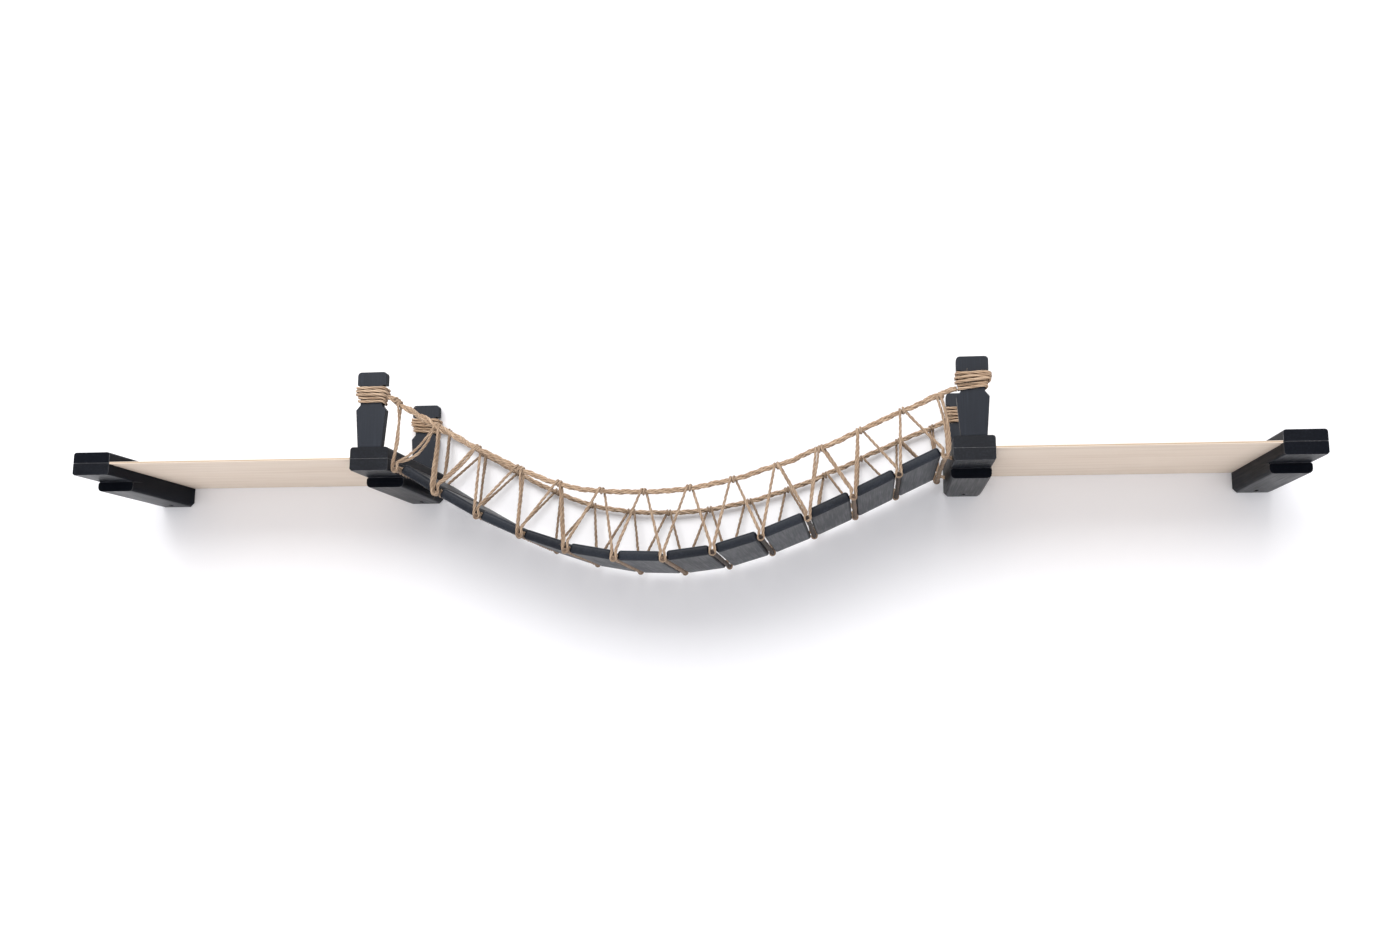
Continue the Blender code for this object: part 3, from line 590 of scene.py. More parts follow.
class Strands:
    """Gathers the plies and loose fibres of one piece, and makes one mesh of them. Its dirt and shade share
    tells how much darker than clean fibre the piece is painted all over, partly as dirt and partly as
    painted shade."""

    YARN_TWIST = 260.0
    PLY_SHARE, PLY_REACH_SHARE = 0.53, 0.47
    SWELL_STEPS, SWELL_LIMITS = 9, (0.75, 1.3)
    TONE_STEPS, TONE_SPREAD = 6, 0.30
    FIBRE_SHIFT = 9.0
    # Where the painted shade in the creases starts and where it is full, as shares of the rope's radius, and
    # how deep it gets
    CREASE_START, CREASE_END, CREASE_DEPTH = 0.92, 0.60, 0.75
    # A loose fibre's thickness from root to tip, and how it stands off, leans, bends and varies in length
    HAIR_RADIUS, HAIR_ROOT, HAIR_TAPER, HAIR_RINGS, HAIR_SIDES = 0.00007, 1.1, 0.6, 4, 3
    ROOT_SHARE, HAIR_OUT, HAIR_LEANS, HAIR_BEND, HAIR_LENGTHS = 0.8, 0.6, (0.5, 1.6), 0.45, (0.4, 1.3)
    TUFT_BEND, TUFT_LENGTHS = 0.8, (0.6, 1.1)
    # How near to the wall a rope's middle comes, as a share of its diameter
    WALL_SHARE = 0.6

    def __init__(self, seed, dust_and_shade=0.0):
        self.random = np.random.default_rng(seed)
        self.settings = bpy.context.scene.plank_bridge.ropes
        self.dust_and_shade = dust_and_shade
        self.corners, self.fibres, self.tones, self.creases, self.faces = [], [], [], [], []
        self.count = 0

    def tones_along(self, count):
        """Tones of a ply's rings, which change slowly along it."""
        marks = np.arange(0, count + self.TONE_STEPS, self.TONE_STEPS)
        changes = self.random.normal(0.0, self.TONE_SPREAD, len(marks))
        return np.clip(self.random.random() + np.interp(np.arange(count), marks, changes), 0.0, 1.0)

    def sweep(self, line, radii, sides, tones, axis=None, reach=1.0):
        """One round strand along a line, closed at both ends. Where it winds round an axis within a
        reach, its creases are marked for painted shade."""
        _, normals, binormals = moving_frames(line)
        angles = np.linspace(0.0, 2 * math.pi, sides, endpoint=False)
        rings = (np.cos(angles)[None, :, None] * normals[:, None]
                 + np.sin(angles)[None, :, None] * binormals[:, None])
        along = lengths_along(line)
        turned = angles[None, :] + (along * self.YARN_TWIST)[:, None]
        radii = np.broadcast_to(radii, len(line))
        self.corners.append((line[:, None] + rings * radii[:, None, None]).reshape(-1, 3))
        around = np.stack((np.cos(turned), np.sin(turned)), axis=2) * radii[:, None, None]
        shifted = (along + self.random.random() * self.FIBRE_SHIFT)[:, None, None]
        seeded = np.broadcast_to(shifted, (len(line), sides, 1))
        self.fibres.append(np.concatenate((seeded, around), axis=2).reshape(-1, 3))
        self.tones.append(np.repeat(np.broadcast_to(tones, len(line)), sides))
        crease = np.zeros((len(line), sides))
        if axis is not None:
            out = np.linalg.norm(self.corners[-1].reshape(len(line), sides, 3) - axis[:, None], axis=2)
            share = (self.CREASE_START - out / reach) / (self.CREASE_START - self.CREASE_END)
            crease = np.clip(share, 0.0, 1.0) * self.CREASE_DEPTH
        # Painted shade in the creases, laid over the piece's own darkening
        self.creases.append((self.dust_and_shade + max(1.0 - self.dust_and_shade, 0.0) * crease).ravel())
        ring, side = np.meshgrid(np.arange(len(line) - 1), np.arange(sides), indexing="ij")
        here, there = ring * sides + side, ring * sides + (side + 1) % sides
        quads = np.stack((here, there, there + sides, here + sides), axis=2).reshape(-1, 4) + self.count
        self.faces += quads.tolist()
        last = self.count + len(line) * sides
        self.faces.append(list(range(self.count + sides - 1, self.count - 1, -1)))
        self.faces.append(list(range(last - sides, last)))
        self.count = last

    def clear_of_wall(self, line, room):
        """A line that keeps its room from the wall plane."""
        return np.column_stack((line[:, 0], np.minimum(line[:, 1], -room), line[:, 2:]))

    def hair(self, start, way, bend, length):
        """One loose fibre."""
        share = np.linspace(0.0, 1.0, self.HAIR_RINGS)[:, None]
        line = start + way * share * length + bend * share ** 2 * length
        line = self.clear_of_wall(line, self.HAIR_RADIUS * 2)
        radii = self.HAIR_RADIUS * (self.HAIR_ROOT - self.HAIR_TAPER * share[:, 0])
        self.sweep(line, radii, self.HAIR_SIDES, 1.0)

    def hairs(self, line, radius, per_metre, length):
        """Loose fibres that stand off a rope."""
        tangents, normals, binormals = moving_frames(line)
        for _ in range(int(lengths_along(line)[-1] * per_metre)):
            index = self.random.integers(1, len(line) - 1)
            angle = self.random.uniform(0.0, 2 * math.pi)
            out = math.cos(angle) * normals[index] + math.sin(angle) * binormals[index]
            way = tangents[index] * self.random.choice((-1.0, 1.0))
            way = out * self.HAIR_OUT + way * self.random.uniform(*self.HAIR_LEANS)
            bend = self.random.normal(0.0, self.HAIR_BEND, 3)
            self.hair(line[index] + out * radius * self.ROOT_SHARE, way, bend,
                      length * self.random.uniform(*self.HAIR_LENGTHS))

    def twine(self, line, diameter, lay_share=None, start=None, hairiness=1.0, swelling=0.12):
        """Three uneven plies of jute round a line, which may carry a girth, with loose fibres."""
        girth = line[:, 3] if line.shape[1] > 3 else np.ones(len(line))
        line = line[:, :3]
        lay = diameter * (lay_share or self.settings.lay_share)
        start = self.random.random() if start is None else start
        ply = diameter / 2 * self.PLY_SHARE
        marks = np.arange(0, len(line) + self.SWELL_STEPS, self.SWELL_STEPS)
        for strand in twisted(line, diameter / 2 * self.PLY_REACH_SHARE * girth, 3, lay, start):
            swells = self.random.normal(1.0, swelling, len(marks))
            swell = np.clip(np.interp(np.arange(len(line)), marks, swells), *self.SWELL_LIMITS)
            self.sweep(strand, ply * girth * swell, self.settings.ply_sides,
                       self.tones_along(len(line)), line, diameter / 2 * girth[:, None])
        self.hairs(line, diameter / 2, self.settings.hairs_per_metre * hairiness, self.settings.hair_length)

    def tuft(self, end, way, spread, length, count):
        """A frayed end: a brush of loose fibres."""
        for _ in range(count):
            aim = way + self.random.normal(0.0, spread, 3)
            bend = self.random.normal(0.0, spread * self.TUFT_BEND, 3)
            self.hair(end, aim, bend, length * self.random.uniform(*self.TUFT_LENGTHS))

    def whole_piece(self, node):
        """The gathered strands as the piece for one packed rope."""
        return self.piece(f"{node}_jute", body_of(node), node)

    def piece(self, piece_name, body, *nodes):
        """The gathered strands as one jute piece of the scene."""
        mesh = bpy.data.meshes.new(piece_name)
        mesh.from_pydata(np.concatenate(self.corners).tolist(), [], self.faces)
        mesh.attributes.new("fibre", "FLOAT_VECTOR", "POINT").data.foreach_set(
            "vector", np.concatenate(self.fibres).ravel())
        for name, values in (("tone", self.tones), ("crease", self.creases)):
            mesh.attributes.new(name, "FLOAT", "POINT").data.foreach_set("value", np.concatenate(values))
        mesh.shade_smooth()
        jute = material_named("jute", jute_material)
        return add_piece(piece_name, mesh, jute, body, "jute_twine", *nodes)


def softened(node, along, width, shift, thin=0.0, rub=EDGE_WEAR, bare_above=math.inf):
    """A copy of a packed wooden node with its facets merged and its sharp edges rubbed round.
    Its corners carry grain coordinates, first along the grain and moved by the shift. Its rubbed faces are
    marked as worn, fully above the given height as a painted highlight. Its sides, its heel's front and some
    fronts are marked for less gloss and a darker colour, as painted shade. Thin tells how far its paint lets
    the grain through."""
    shape = bmesh.new()
    shape.from_mesh(frame["nodes"][node].data)
    wear_and_highlight_layer = shape.faces.layers.float.new("edge_wear_and_highlight")
    dull_and_shaded = shape.faces.layers.float.new("dull_and_shaded")
    grain = shape.verts.layers.float_vector.new("grain")
    thinness = shape.verts.layers.float.new("thin")
    bmesh.ops.remove_doubles(shape, verts=shape.verts, dist=WELD_DISTANCE)
    bmesh.ops.dissolve_limit(shape, angle_limit=FLAT_ANGLE, verts=shape.verts, edges=shape.edges)
    sharp = [edge for edge in shape.edges if edge.is_manifold and edge.calc_face_angle() > SHARP_ANGLE]
    rubbed = bmesh.ops.bevel(shape, geom=sharp, offset=width, offset_type="OFFSET", segments=2, profile=0.5,
                             affect="EDGES", clamp_overlap=True)["faces"]
    # Rubbed faces are marked worn; above the highlight height, fully pale as a painted highlight
    for face in rubbed:
        face[wear_and_highlight_layer] = 1.0 if face.calc_center_median().z > bare_above else rub
    shape.normal_update()
    front = min(corner.co.y for corner in shape.verts)
    # Sides, heel fronts and some fronts are marked for less gloss and painted shade
    for face in shape.faces:
        if abs(face.normal.x) > LEAN:
            face[dull_and_shaded] = 1.0
        elif face.normal.y < -LEAN:
            heel = face.calc_center_median().y > front + SET_BACK
            face[dull_and_shaded] = 1.0 if heel else DULL_SHADED_FRONTS.get(node, 0.0)
    order = np.argsort([-abs(Vector(along).dot(axis)) for axis in Matrix.Identity(3)], kind="stable")
    for corner in shape.verts:
        corner[grain] = Vector([corner.co[axis] for axis in order]) + Vector((shift, 0.0, 0.0))
        corner[thinness] = thin
    mesh = mesh_from(shape, node)
    if "custom_normal" in mesh.attributes:
        mesh.attributes.remove(mesh.attributes["custom_normal"])
    mesh.materials.clear()
    mesh.shade_smooth()
    mesh.set_sharp_from_angle(angle=SMOOTH_ANGLE)
    return mesh


def add_wood(name, mesh, material, slot, node):
    """A wooden piece whose flat faces keep even normals beside its rubbed edges."""
    piece = add_piece(name, mesh, material, body_of(node), slot, node)
    even = piece.modifiers.new("even faces", "WEIGHTED_NORMAL")
    even.keep_sharp = True
    return piece


def add_painted(node, *grain_and_edges, **finish):
    """A packed wooden node, softened and painted black."""
    paint = material_named("black_paint", paint_material)
    add_wood(f"{node}_painted", softened(node, *grain_and_edges, **finish), paint, "painted_wood", node)


class PLANKBRIDGE_OT_brackets(Operator):
    """Build the arms and top bars of the four brackets"""

    bl_idname = "plank_bridge.brackets"
    bl_label = "Brackets"

    GRAIN_SHIFT = 1.7

    def execute(self, context):
        width = context.scene.plank_bridge.wood.bracket_edge_width
        for index, bracket in enumerate(BRACKETS):
            for part in ("bracket_arm", "bracket_top_bar"):
                # An inner arm's top edge at the joint gets a painted highlight
                bare_above = -width if bracket in INNER_BRACKETS and part == "bracket_arm" else math.inf
                add_painted(f"{bracket}_{part}", OUT_OF_WALL, width, index * self.GRAIN_SHIFT,
                            bare_above=bare_above)
        return {"FINISHED"}


class PLANKBRIDGE_OT_posts(Operator):
    """Build the four rope posts"""

    bl_idname = "plank_bridge.posts"
    bl_label = "Rope posts"

    THIN = 0.55

    def execute(self, context):
        width = context.scene.plank_bridge.wood.edge_width / 2
        for place, shift in POST_GRAIN_SHIFTS.items():
            add_painted(f"{place}_rope_post", UP, width, shift, thin=self.THIN, rub=POST_EDGE_WEAR)
        return {"FINISHED"}


class PLANKBRIDGE_OT_shelves(Operator):
    """Build the two plywood shelves"""

    bl_idname = "plank_bridge.shelves"
    bl_label = "Plywood shelves"

    def execute(self, context):
        wood = context.scene.plank_bridge.wood
        plywood = material_named("birch_ply", plywood_material)
        for hand, shift in SHELF_GRAIN_SHIFTS.items():
            node = f"{hand}_shelf_panel"
            mesh = softened(node, ALONG_WALL, wood.edge_width / 4, shift)
            mark_core(mesh, wood.veneer_thickness)
            add_wood(f"{node}_plywood", mesh, plywood, "birch_plywood", node)
        return {"FINISHED"}


def mark_core(mesh, veneer):
    """Split the shelf's edge faces at the core ply and mark them."""
    shape = bmesh.new()
    shape.from_mesh(mesh)
    top = max(corner.co.z for corner in shape.verts) - veneer
    for height in (top, -top):
        bmesh.ops.bisect_plane(shape, geom=shape.verts[:] + shape.edges[:] + shape.faces[:],
                               plane_co=(0.0, 0.0, height), plane_no=UP)
    core = shape.faces.layers.float.new("core")
    for face in shape.faces:
        if abs(face.calc_center_median().z) < top and abs(face.normal.z) < LEAN:
            face[core] = 1.0
    shape.to_mesh(mesh)
    shape.free()


class PLANKBRIDGE_OT_screws(Operator):
    """Build the clamp screws in the brackets' tops"""

    bl_idname = "plank_bridge.screws"
    bl_label = "Clamp screws"

    RECESS = (0.0044, 0.0009, 0.0017)
    EDGE_WIDTH = 0.0002

    def execute(self, context):
        steel = material_named("zinc_steel", steel_material)
        for bracket in BRACKETS:
            for side in SIDES:
                node = f"{bracket}_{side}_clamp_screw"
                head = softened(node, UP, self.EDGE_WIDTH, 0.0)
                mesh = recessed(node, head, *self.RECESS)
                piece = add_piece(f"{node}_steel", mesh, steel, body_of(node), "screw_steel", node)
                piece.modifiers.new("even faces", "WEIGHTED_NORMAL")
        return {"FINISHED"}


def recessed(node, mesh, reach, width, depth):
    """A packed screw's mesh with a cross recess cut into its head, by the recess's sizes."""
    low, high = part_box(node)
    middle = (low + high) / 2
    cutter = bmesh.new()
    for size in ((reach, width), (width, reach)):
        fit = Matrix.Translation((middle.x, middle.y, high.z)) @ Matrix.Diagonal((*size, 2 * depth, 1.0))
        bmesh.ops.create_cube(cutter, size=1.0, matrix=fit)
    tool = placed("recess", mesh_from(cutter, "recess"))
    body = placed("screw", mesh)
    cut = body.modifiers.new("recess", "BOOLEAN")
    cut.operation = "DIFFERENCE"
    cut.use_self = True
    cut.object = tool
    view = bpy.context.evaluated_depsgraph_get()
    result = bpy.data.meshes.new_from_object(body.evaluated_get(view))
    for made in (body, tool):
        bpy.data.objects.remove(made)
    result.materials.clear()
    return result


class PLANKBRIDGE_OT_planks(Operator):
    """Build the planks of the deck"""

    bl_idname = "plank_bridge.planks"
    bl_label = "Planks"

    GRAIN_SHIFT = 0.83
    THINS = (0.20, 0.35, 0.50)

    def execute(self, context):
        width = context.scene.plank_bridge.wood.edge_width / 2
        for index, node in enumerate(nodes_called("plank_")):
            add_painted(node, OUT_OF_WALL, width, index * self.GRAIN_SHIFT,
                        thin=self.THINS[index % len(self.THINS)])
        return {"FINISHED"}


def wrap_line(low, high, radius, turns, layer, slant, bias, random):
    """A rounded square helix round a post's neck. The second layer covers the upper part of the first."""
    middle, half = (low + high) / 2, (high - low) / 2
    corner = radius * CORNER_SHARE
    out = layer * radius * LAYER_SHARE
    top = high.z - radius
    foot = low.z + radius + layer * (top - low.z) * BARE_SHARE
    corners = ((1, 1, 90), (1, -1, 0), (-1, -1, -90), (-1, 1, -180))
    line = []
    for turn in range(turns):
        waver = random.normal(0.0, radius * WAVER_SHARE, len(corners))
        for side, (across, back, first) in enumerate(corners):
            for step in np.linspace(0.0, 1.0, CORNER_POINTS):
                angle = math.radians(first - 90 * step)
                share = (turn + (side + step) / len(corners)) / turns
                swell = END_SWELL + SWELL_GAIN * math.sin(math.pi * share)
                reach = corner + out * swell + layer * bias * (1 + across) / 2
                x = across * (half.x - radius - corner) + reach * math.cos(angle)
                y = back * (half.y - radius - corner) + reach * math.sin(angle)
                lift = slant * x / half.x * (1 - share) + waver[side]
                line.append((middle.x + x, middle.y + y, min(foot + (top - foot) * share + lift, top)))
    return line


class PLANKBRIDGE_OT_wraps(Operator):
    """Build the twine wound round the posts"""

    bl_idname = "plank_bridge.wraps"
    bl_label = "Post wraps"

    def execute(self, context):
        ropes = context.scene.plank_bridge.ropes
        diameter = ropes.twine_diameter * ropes.wrap_share
        for index, (place, slant) in enumerate(WRAP_SLANTS.items()):
            node = f"{place}_post_wrap"
            low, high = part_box(node)
            strands = Strands(WRAP_SEED + index)
            for layer, turns in WRAP_LAYERS:
                line = wrap_line(low, high, diameter / 2, turns, layer, slant, WRAP_BIASES[place],
                                 strands.random)
                line = relaxed(resampled(line, ropes.step), passes=2)
                line = strands.clear_of_wall(line, diameter * strands.WALL_SHARE)
                strands.twine(line, diameter, ropes.lay_share * 2)
            strands.whole_piece(node)
        return {"FINISHED"}


class PLANKBRIDGE_OT_handrails(Operator):
    """Build the two handrails of twisted twine"""

    bl_idname = "plank_bridge.handrails"
    bl_label = "Handrails"

    # In diameters of the rail: how far it strays, and how far out its twines lie, their lay and girth
    STRAY_SHARE, REACH_SHARE, LAY_SHARE, GIRTH_SHARE = 0.10, 0.25, 6.5, 0.52
    TWINE_HAIRINESS = 0.5
    # How far the strands beside it stray, as a share of their reach, their lay in diameters of the rail,
    # their girth as a share of the twine's, where their turn starts, and the reach that their ends keep
    BESIDE_STRAY_SHARE, BESIDE_LAY_SHARE, BESIDE_GIRTH_SHARE = 0.2, 7.0, 0.85
    BESIDE_START, END_REACH_SHARE = 0.55, 0.55

    def execute(self, context):
        ropes = context.scene.plank_bridge.ropes
        for side in SIDES:
            node, diameter = f"{side}_handrail", ropes.rail_diameter
            strands = Strands(HANDRAIL_SEEDS[side], HANDRAIL_DUST_AND_SHADE)
            line = relaxed(resampled(rope_line(node), ropes.step), passes=12)
            line = wandering(line, strands.random, diameter * self.STRAY_SHARE)
            knots = [place[0] for place, _ in knots_of(side)]
            apart = np.abs(line[:, :1] - np.array(knots)).min(axis=1)
            girth = 1.0 - (1.0 - ropes.tight_share) * np.exp(-(apart / diameter) ** 2)
            for strand in twisted(line, diameter * self.REACH_SHARE * girth, 3, diameter * self.LAY_SHARE):
                strands.twine(np.column_stack((strand, girth)), diameter * self.GIRTH_SHARE,
                              -ropes.lay_share, hairiness=self.TWINE_HAIRINESS)
            marks = [line[0, 0]] + knots + [line[-1, 0]]
            for first, last, count, reach in RAIL_STRANDS[side]:
                run = line[(line[:, 0] >= marks[first + 1]) & (line[:, 0] <= marks[last + 1])]
                lay = diameter * self.BESIDE_LAY_SHARE
                for beside in twisted(run, self.bowed(len(run), reach), count, lay, self.BESIDE_START):
                    beside = wandering(beside, strands.random, reach * self.BESIDE_STRAY_SHARE)
                    strands.twine(beside, ropes.twine_diameter * self.BESIDE_GIRTH_SHARE)
            strands.whole_piece(node)
        return {"FINISHED"}

    def bowed(self, count, reach):
        """How far a strand stands off the rail's middle, less at its ends."""
        bow = np.sin(np.linspace(0.0, math.pi, count))
        return reach * (self.END_REACH_SHARE + (1.0 - self.END_REACH_SHARE) * bow)


def hitch(place, slope, side, radius, pitch, turns, girth):
    """Turns of twine round a handrail, from its outer side over the top to its inner side."""
    out = np.array((0.0, OUTWARD[side], 0.0))
    up = np.array((-slope[2], 0.0, slope[0]))
    line = []
    for share in np.linspace(0.0, 1.0, int(turns * HITCH_POINTS) + 1):
        angle = 2 * math.pi * turns * share
        shift = slope * pitch * turns * (share - 0.5)
        point = place + shift + (out * math.cos(angle) + up * math.sin(angle)) * radius
        line.append((*point, girth))
    return line


def hook(across, height, depth, radius, trunk, lean, girth):
    """Two strands that meet over a cross rope and turn under it, from its left side to its right."""
    ends = [(across + way * radius * TRUNK_SHARE - lean, depth, height + trunk, 1.0) for way in (-1, 1)]
    turn = [(across + radius * math.cos(angle), depth, height + radius * math.sin(angle), girth)
            for angle in np.linspace(math.pi, 2 * math.pi, HOOK_POINTS)]
    return [ends[0], *turn, ends[1]]


def bowed_points(start, end, right, down):
    """Points between two others, on a curve that bows from the straight line to the right and down."""
    start, end = np.array(start), np.array(end)
    bend = np.array((right, 0.0, -down, 0.0))
    shares = np.linspace(0.0, 1.0, BOW_POINTS)[1:-1]
    return [start + (end - start) * share + bend * 4 * share * (1 - share) for share in shares]


class PLANKBRIDGE_OT_lacings(Operator):
    """Build the zigzag lacing of both sides"""

    bl_idname = "plank_bridge.lacings"
    bl_label = "Lacings"

    KNOT_TURNS = (1.5, 1.5, 1.5, 2.5)
    HALF_TURN = 0.5
    TRUNK_SHARES = (0.75, 1.15)
    LEAN_REACH = 0.0006
    # In diameters of the twine: a knot's pitch, how far the strands beside the zigzag stray, their girth,
    # and how far they stand to their side and apart at a knot, and apart in depth and at the foot
    PITCH_SHARE, STRAY_SHARE, GIRTH_SHARE = 0.95, 0.12, 0.88
    SIDE_SHARE, APART_SHARE, DEPTH_SHARE, FOOT_SHARE = 0.30, 0.12, 0.45, 0.22

    def execute(self, context):
        ropes = context.scene.plank_bridge.ropes
        for side in SIDES:
            node = f"{side}_lacing"
            strands = Strands(LACING_SEEDS[side], LACING_DUST_AND_SHADE[side])
            line = resampled(self.zigzag(side, ropes, strands.random), ropes.step)
            strands.twine(relaxed(line, passes=1), ropes.twine_diameter)
            for knot, gap, count, right, down in EXTRA_STRANDS[side]:
                for number in range(count):
                    line = self.beside(side, ropes, knot, gap, number + 1, right, down)
                    line = relaxed(resampled(line, ropes.step), passes=3)
                    line = wandering(line, strands.random, ropes.twine_diameter * self.STRAY_SHARE)
                    strands.twine(line, ropes.twine_diameter * self.GIRTH_SHARE)
            strands.whole_piece(node)
        return {"FINISHED"}

    def knot_radius(self, ropes):
        """The reach of a pulled turn's middle line from the handrail's."""
        return (ropes.rail_diameter + ropes.twine_diameter) / 2 * ropes.tight_share ** 2

    def hook_radius(self, ropes):
        """The reach of a pulled turn's middle line from a cross rope's."""
        return (ropes.cross_diameter + ropes.twine_diameter) / 2 * ropes.tight_share ** 2

    def zigzag(self, side, ropes, random):
        """The twine's way round the handrail at each knot and under the cross rope in each gap."""
        depth = hook_depth(side)
        gaps = crossings()
        line = []
        for index, (place, slope) in enumerate(knots_of(side)):
            turns = hitch(place, slope, side, self.knot_radius(ropes),
                          ropes.twine_diameter * self.PITCH_SHARE, random.choice(self.KNOT_TURNS),
                          ropes.tight_share)
            line += self.slack(line, turns[0], SLACK_STRETCHES[side].get((index, index - 1))) + turns
            if index < len(gaps):
                _, across, height, _, _ = gaps[index]
                trunk = ropes.trunk_height * random.uniform(*self.TRUNK_SHARES)
                foot = hook(across, height, depth, self.hook_radius(ropes), trunk,
                            random.normal(0.0, self.LEAN_REACH), ropes.tight_share)
                line += self.slack(line, foot[0], SLACK_STRETCHES[side].get((index, index))) + foot
        return line

    def slack(self, line, end, bow):
        """Points that bow the stretch from the line's last point to the next, if it hangs slack."""
        return bowed_points(line[-1], end, *bow) if bow else []

    def beside(self, side, ropes, knot, gap, number, right, down):
        """A strand beside the zigzag, from over the handrail down to under a cross rope."""
        place, slope = knots_of(side)[knot]
        _, across, height, _, _ = crossings()[gap]
        inward = 1.0 if gap >= knot else -1.0
        # Strands leave a knot on the side of their gap, but the last knot from its middle
        way = 1.0 if knot == len(crossings()) else inward
        shift = slope * ropes.twine_diameter * (way * self.SIDE_SHARE + inward * self.APART_SHARE * number)
        turn = hitch(place + shift, slope, side, self.knot_radius(ropes), 0.0, self.HALF_TURN,
                     ropes.tight_share)
        top = turn[::-1]
        depth = hook_depth(side) + OUTWARD[side] * ropes.twine_diameter * self.DEPTH_SHARE * number
        foot = hook(across, height, depth, self.hook_radius(ropes), ropes.trunk_height, 0.0,
                    ropes.tight_share)
        if inward < 0:
            foot = foot[::-1]
        end = np.array(foot[0])
        end[0] -= inward * ropes.twine_diameter * self.FOOT_SHARE * number
        return top + bowed_points(top[-1], end, right, down) + [end] + foot[1:-1]


class PLANKBRIDGE_OT_cross_ropes(Operator):
    """Build the cross ropes between the planks"""

    bl_idname = "plank_bridge.cross_ropes"
    bl_label = "Cross ropes"

    STRAY_SHARE = 0.06
    HAIRINESS = 4.0
    FRAY_FALL, FRAY_SPREAD, FRAY_LENGTH, FRAY_COUNT = -0.3, 0.30, 0.003, 16

    def execute(self, context):
        ropes = context.scene.plank_bridge.ropes
        for index, (node, across, height, front, rear) in enumerate(crossings()):
            strands = Strands(CROSS_ROPE_SEED + index, CROSS_ROPE_DUST_AND_SHADE[index])
            line = resampled(((across, front, height), (across, rear, height)), ropes.step)
            strands.twine(wandering(line, strands.random, ropes.cross_diameter * self.STRAY_SHARE),
                          ropes.cross_diameter, hairiness=self.HAIRINESS if index in HAIRY_GAPS else 1.0)
            for end, way in ((line[0], -1.0), (line[-1], 1.0)):
                strands.tuft(end, np.array((0.0, way, self.FRAY_FALL)), self.FRAY_SPREAD, self.FRAY_LENGTH,
                             self.FRAY_COUNT)
            strands.whole_piece(node)
        return {"FINISHED"}


class PLANKBRIDGE_OT_carriers(Operator):
    """Build the carrier ropes that run through the planks"""

    bl_idname = "plank_bridge.carriers"
    bl_label = "Carrier ropes"

    def execute(self, context):
        ropes = context.scene.plank_bridge.ropes
        lay = ropes.carrier_diameter * ropes.lay_share
        for side in SIDES:
            node = f"{side}_carrier_rope"
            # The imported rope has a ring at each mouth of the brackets' and the planks' holes
            rings = rope_line(node)
            line = resampled(rings, ropes.step)
            mouths = rings[1:-1]
            cuts = [rings[:1], *(mouths[i:i + 1] for i in range(1, len(mouths) - 1)), rings[-1:]]
            for index, (start, end) in enumerate(zip(cuts, cuts[1:])):
                inner = line[(line[:, 0] > start[0, 0]) & (line[:, 0] < end[0, 0])]
                strands = Strands(CARRIER_SEEDS[side] + index, CARRIER_DUST_AND_SHADE)
                strands.twine(np.concatenate((start, inner, end)), ropes.carrier_diameter,
                              start=(start[0, 0] - line[0, 0]) / lay, swelling=0.0)
                name = f"{node}_{index:02d}_jute"
                if index % 2:
                    strands.piece(name, body_of(nodes_called("plank_")[index // 2]))
                elif 0 < index < len(cuts) - 2:
                    strands.piece(name, f"{side}_side", node)
                else:
                    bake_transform(strands.piece(name, None, node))
        return {"FINISHED"}


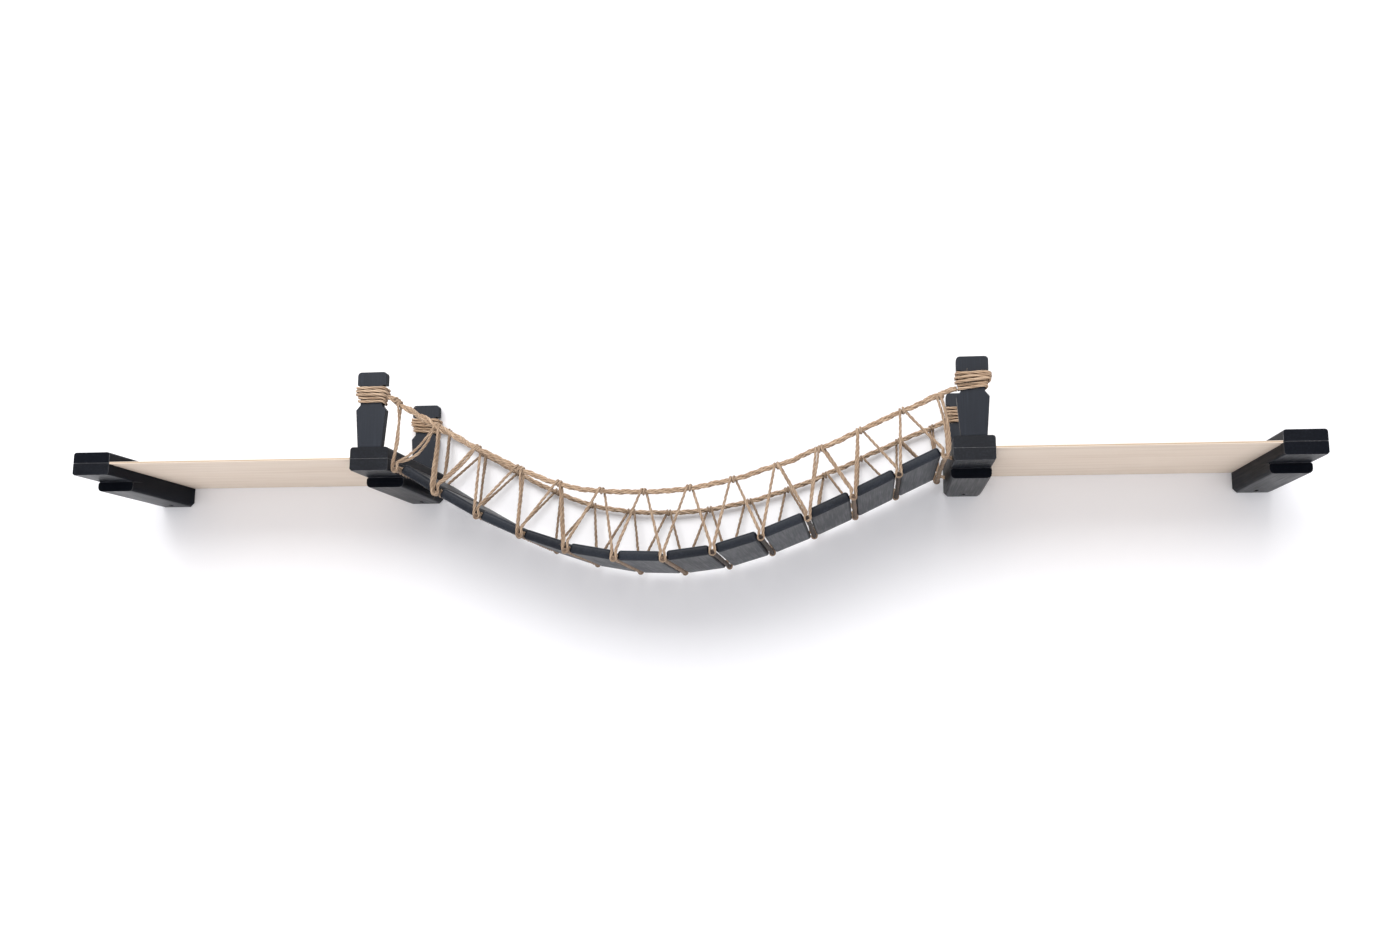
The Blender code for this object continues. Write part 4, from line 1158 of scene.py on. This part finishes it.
class PLANKBRIDGE_OT_stage(Operator):
    """Set up the camera, the light, the wall and the floor"""

    bl_idname = "plank_bridge.stage"
    bl_label = "Stage"

    SENSOR_WIDTH = 36.0
    WALL_GAP, WALL_TOP, ROOM_REACH = 0.0006, 2.2, 4.0
    SKY_COLOUR = (0.98, 0.98, 1.0, 1.0)
    LAMP_SIZE, LAMP_PLACE, LAMP_AIM = (3.0, 1.8), (-0.3, -2.6, 1.5), (0.0, -0.1, 0.0)

    def execute(self, context):
        stage = context.scene.plank_bridge.stage
        self.add_camera(context, stage)
        self.add_room(context, stage)
        self.add_light(context, stage)
        context.scene.view_settings.view_transform = "Standard"
        return {"FINISHED"}

    def add_camera(self, context, stage):
        """The camera at the photograph's place and angle, for a frame of 1400 by 933."""
        holder = placed("camera", bpy.data.cameras.new("camera"))
        holder.data.sensor_width = self.SENSOR_WIDTH
        holder.data.lens = stage.focal_length
        holder.location = stage.camera_place
        holder.rotation_euler = stage.camera_turn
        context.scene.camera = holder

    def add_room(self, context, stage):
        """A wall just behind the brackets and a floor, which can't be seen from behind."""
        floor, top, reach = stage.floor_height, self.WALL_TOP, self.ROOM_REACH
        for name, middle, size, turn in (
                ("wall", (0.0, self.WALL_GAP, (top + floor) / 2), (2 * reach, top - floor), math.pi / 2),
                ("floor", (0.0, -reach, floor), (2 * reach, 2 * reach), 0.0)):
            shape = bmesh.new()
            upright = Matrix.Translation(middle) @ Matrix.Rotation(turn, 4, "X")
            fit = upright @ Matrix.Diagonal((*size, 1.0, 1.0))
            bmesh.ops.create_grid(shape, x_segments=1, y_segments=1, size=0.5, matrix=fit)
            plane = placed(name, mesh_from(shape, name))
            plane.data.materials.append(self.room_material(name, stage))

    def room_material(self, name, stage):
        """Pale matt paint, a little paler where the camera sees it, and clear from behind."""
        shader = Shader(f"room_{name}")
        seen = shader.node("ShaderNodeLightPath").outputs["Is Camera Ray"]
        colour = shader.mix(seen, stage.room_colour, stage.seen_colour)
        material = shader.finish(base_color=colour, roughness=0.9, specular_ior_level=0.1)
        either = shader.node("ShaderNodeMixShader")
        shader.put(either.inputs[0], shader.node("ShaderNodeNewGeometry").outputs["Backfacing"])
        shader.put(either.inputs[1], shader.principled.outputs["BSDF"])
        shader.put(either.inputs[2], shader.node("ShaderNodeBsdfTransparent").outputs["BSDF"])
        shader.put(shader.tree.nodes["Material Output"].inputs["Surface"], either.outputs["Shader"])
        return material

    def add_light(self, context, stage):
        """Soft light from all sides and one large lamp above the camera."""
        world = bpy.data.worlds.new("soft_room")
        context.scene.world = world
        world.use_nodes = True
        tree = world.node_tree
        background = tree.nodes["Background"]
        background.inputs["Color"].default_value = self.SKY_COLOUR
        path = tree.nodes.new("ShaderNodeLightPath")
        mirrored, seen = (tree.nodes.new("ShaderNodeMapRange") for _ in range(2))
        tree.links.new(path.outputs["Is Glossy Ray"], mirrored.inputs["Value"])
        mirrored.inputs["To Min"].default_value = stage.sky_strength
        mirrored.inputs["To Max"].default_value = stage.mirrored_strength
        tree.links.new(path.outputs["Is Camera Ray"], seen.inputs["Value"])
        tree.links.new(mirrored.outputs["Result"], seen.inputs["To Min"])
        seen.inputs["To Max"].default_value = 1.0
        tree.links.new(seen.outputs["Result"], background.inputs["Strength"])
        lamp = bpy.data.lights.new("key", "AREA")
        lamp.shape = "RECTANGLE"
        lamp.size, lamp.size_y = self.LAMP_SIZE
        lamp.energy = stage.key_power
        holder = placed("key", lamp)
        holder.location = self.LAMP_PLACE
        aim = Vector(self.LAMP_AIM) - Vector(self.LAMP_PLACE)
        holder.rotation_euler = aim.to_track_quat("-Z", "Y").to_euler()


class PLANKBRIDGE_PT_sidebar(Panel):
    """Lists the steps that dress the bridge"""

    bl_idname = "PLANKBRIDGE_PT_sidebar"
    bl_label = "Plank Bridge"
    bl_space_type = "VIEW_3D"
    bl_region_type = "UI"
    bl_category = "Plank Bridge"

    def draw(self, context):
        settings = context.scene.plank_bridge
        for group in (settings.wood, settings.ropes, settings.stage):
            box = self.layout.box()
            for name in group.__annotations__:
                box.prop(group, name)
        for step in STEPS:
            self.layout.operator(step.bl_idname)


GROUPS = (PlankBridgeWood, PlankBridgeRopes, PlankBridgeStage, PlankBridgeSettings)
STEPS = (PLANKBRIDGE_OT_brackets, PLANKBRIDGE_OT_posts, PLANKBRIDGE_OT_shelves, PLANKBRIDGE_OT_screws,
         PLANKBRIDGE_OT_planks, PLANKBRIDGE_OT_wraps, PLANKBRIDGE_OT_handrails, PLANKBRIDGE_OT_lacings,
         PLANKBRIDGE_OT_cross_ropes, PLANKBRIDGE_OT_carriers, PLANKBRIDGE_OT_stage)


def register():
    """Register the settings, the steps and the panel."""
    for kind in (*GROUPS, *STEPS, PLANKBRIDGE_PT_sidebar):
        bpy.utils.register_class(kind)
    bpy.types.Scene.plank_bridge = PointerProperty(type=PlankBridgeSettings)


def unregister():
    """Remove what register added."""
    del bpy.types.Scene.plank_bridge
    for kind in reversed((*GROUPS, *STEPS, PLANKBRIDGE_PT_sidebar)):
        bpy.utils.unregister_class(kind)


def main():
    """Run every step in order."""
    register()
    for step in STEPS:
        group, name = step.bl_idname.split(".")
        getattr(getattr(bpy.ops, group), name)()


if __name__ == "__main__":
    main()
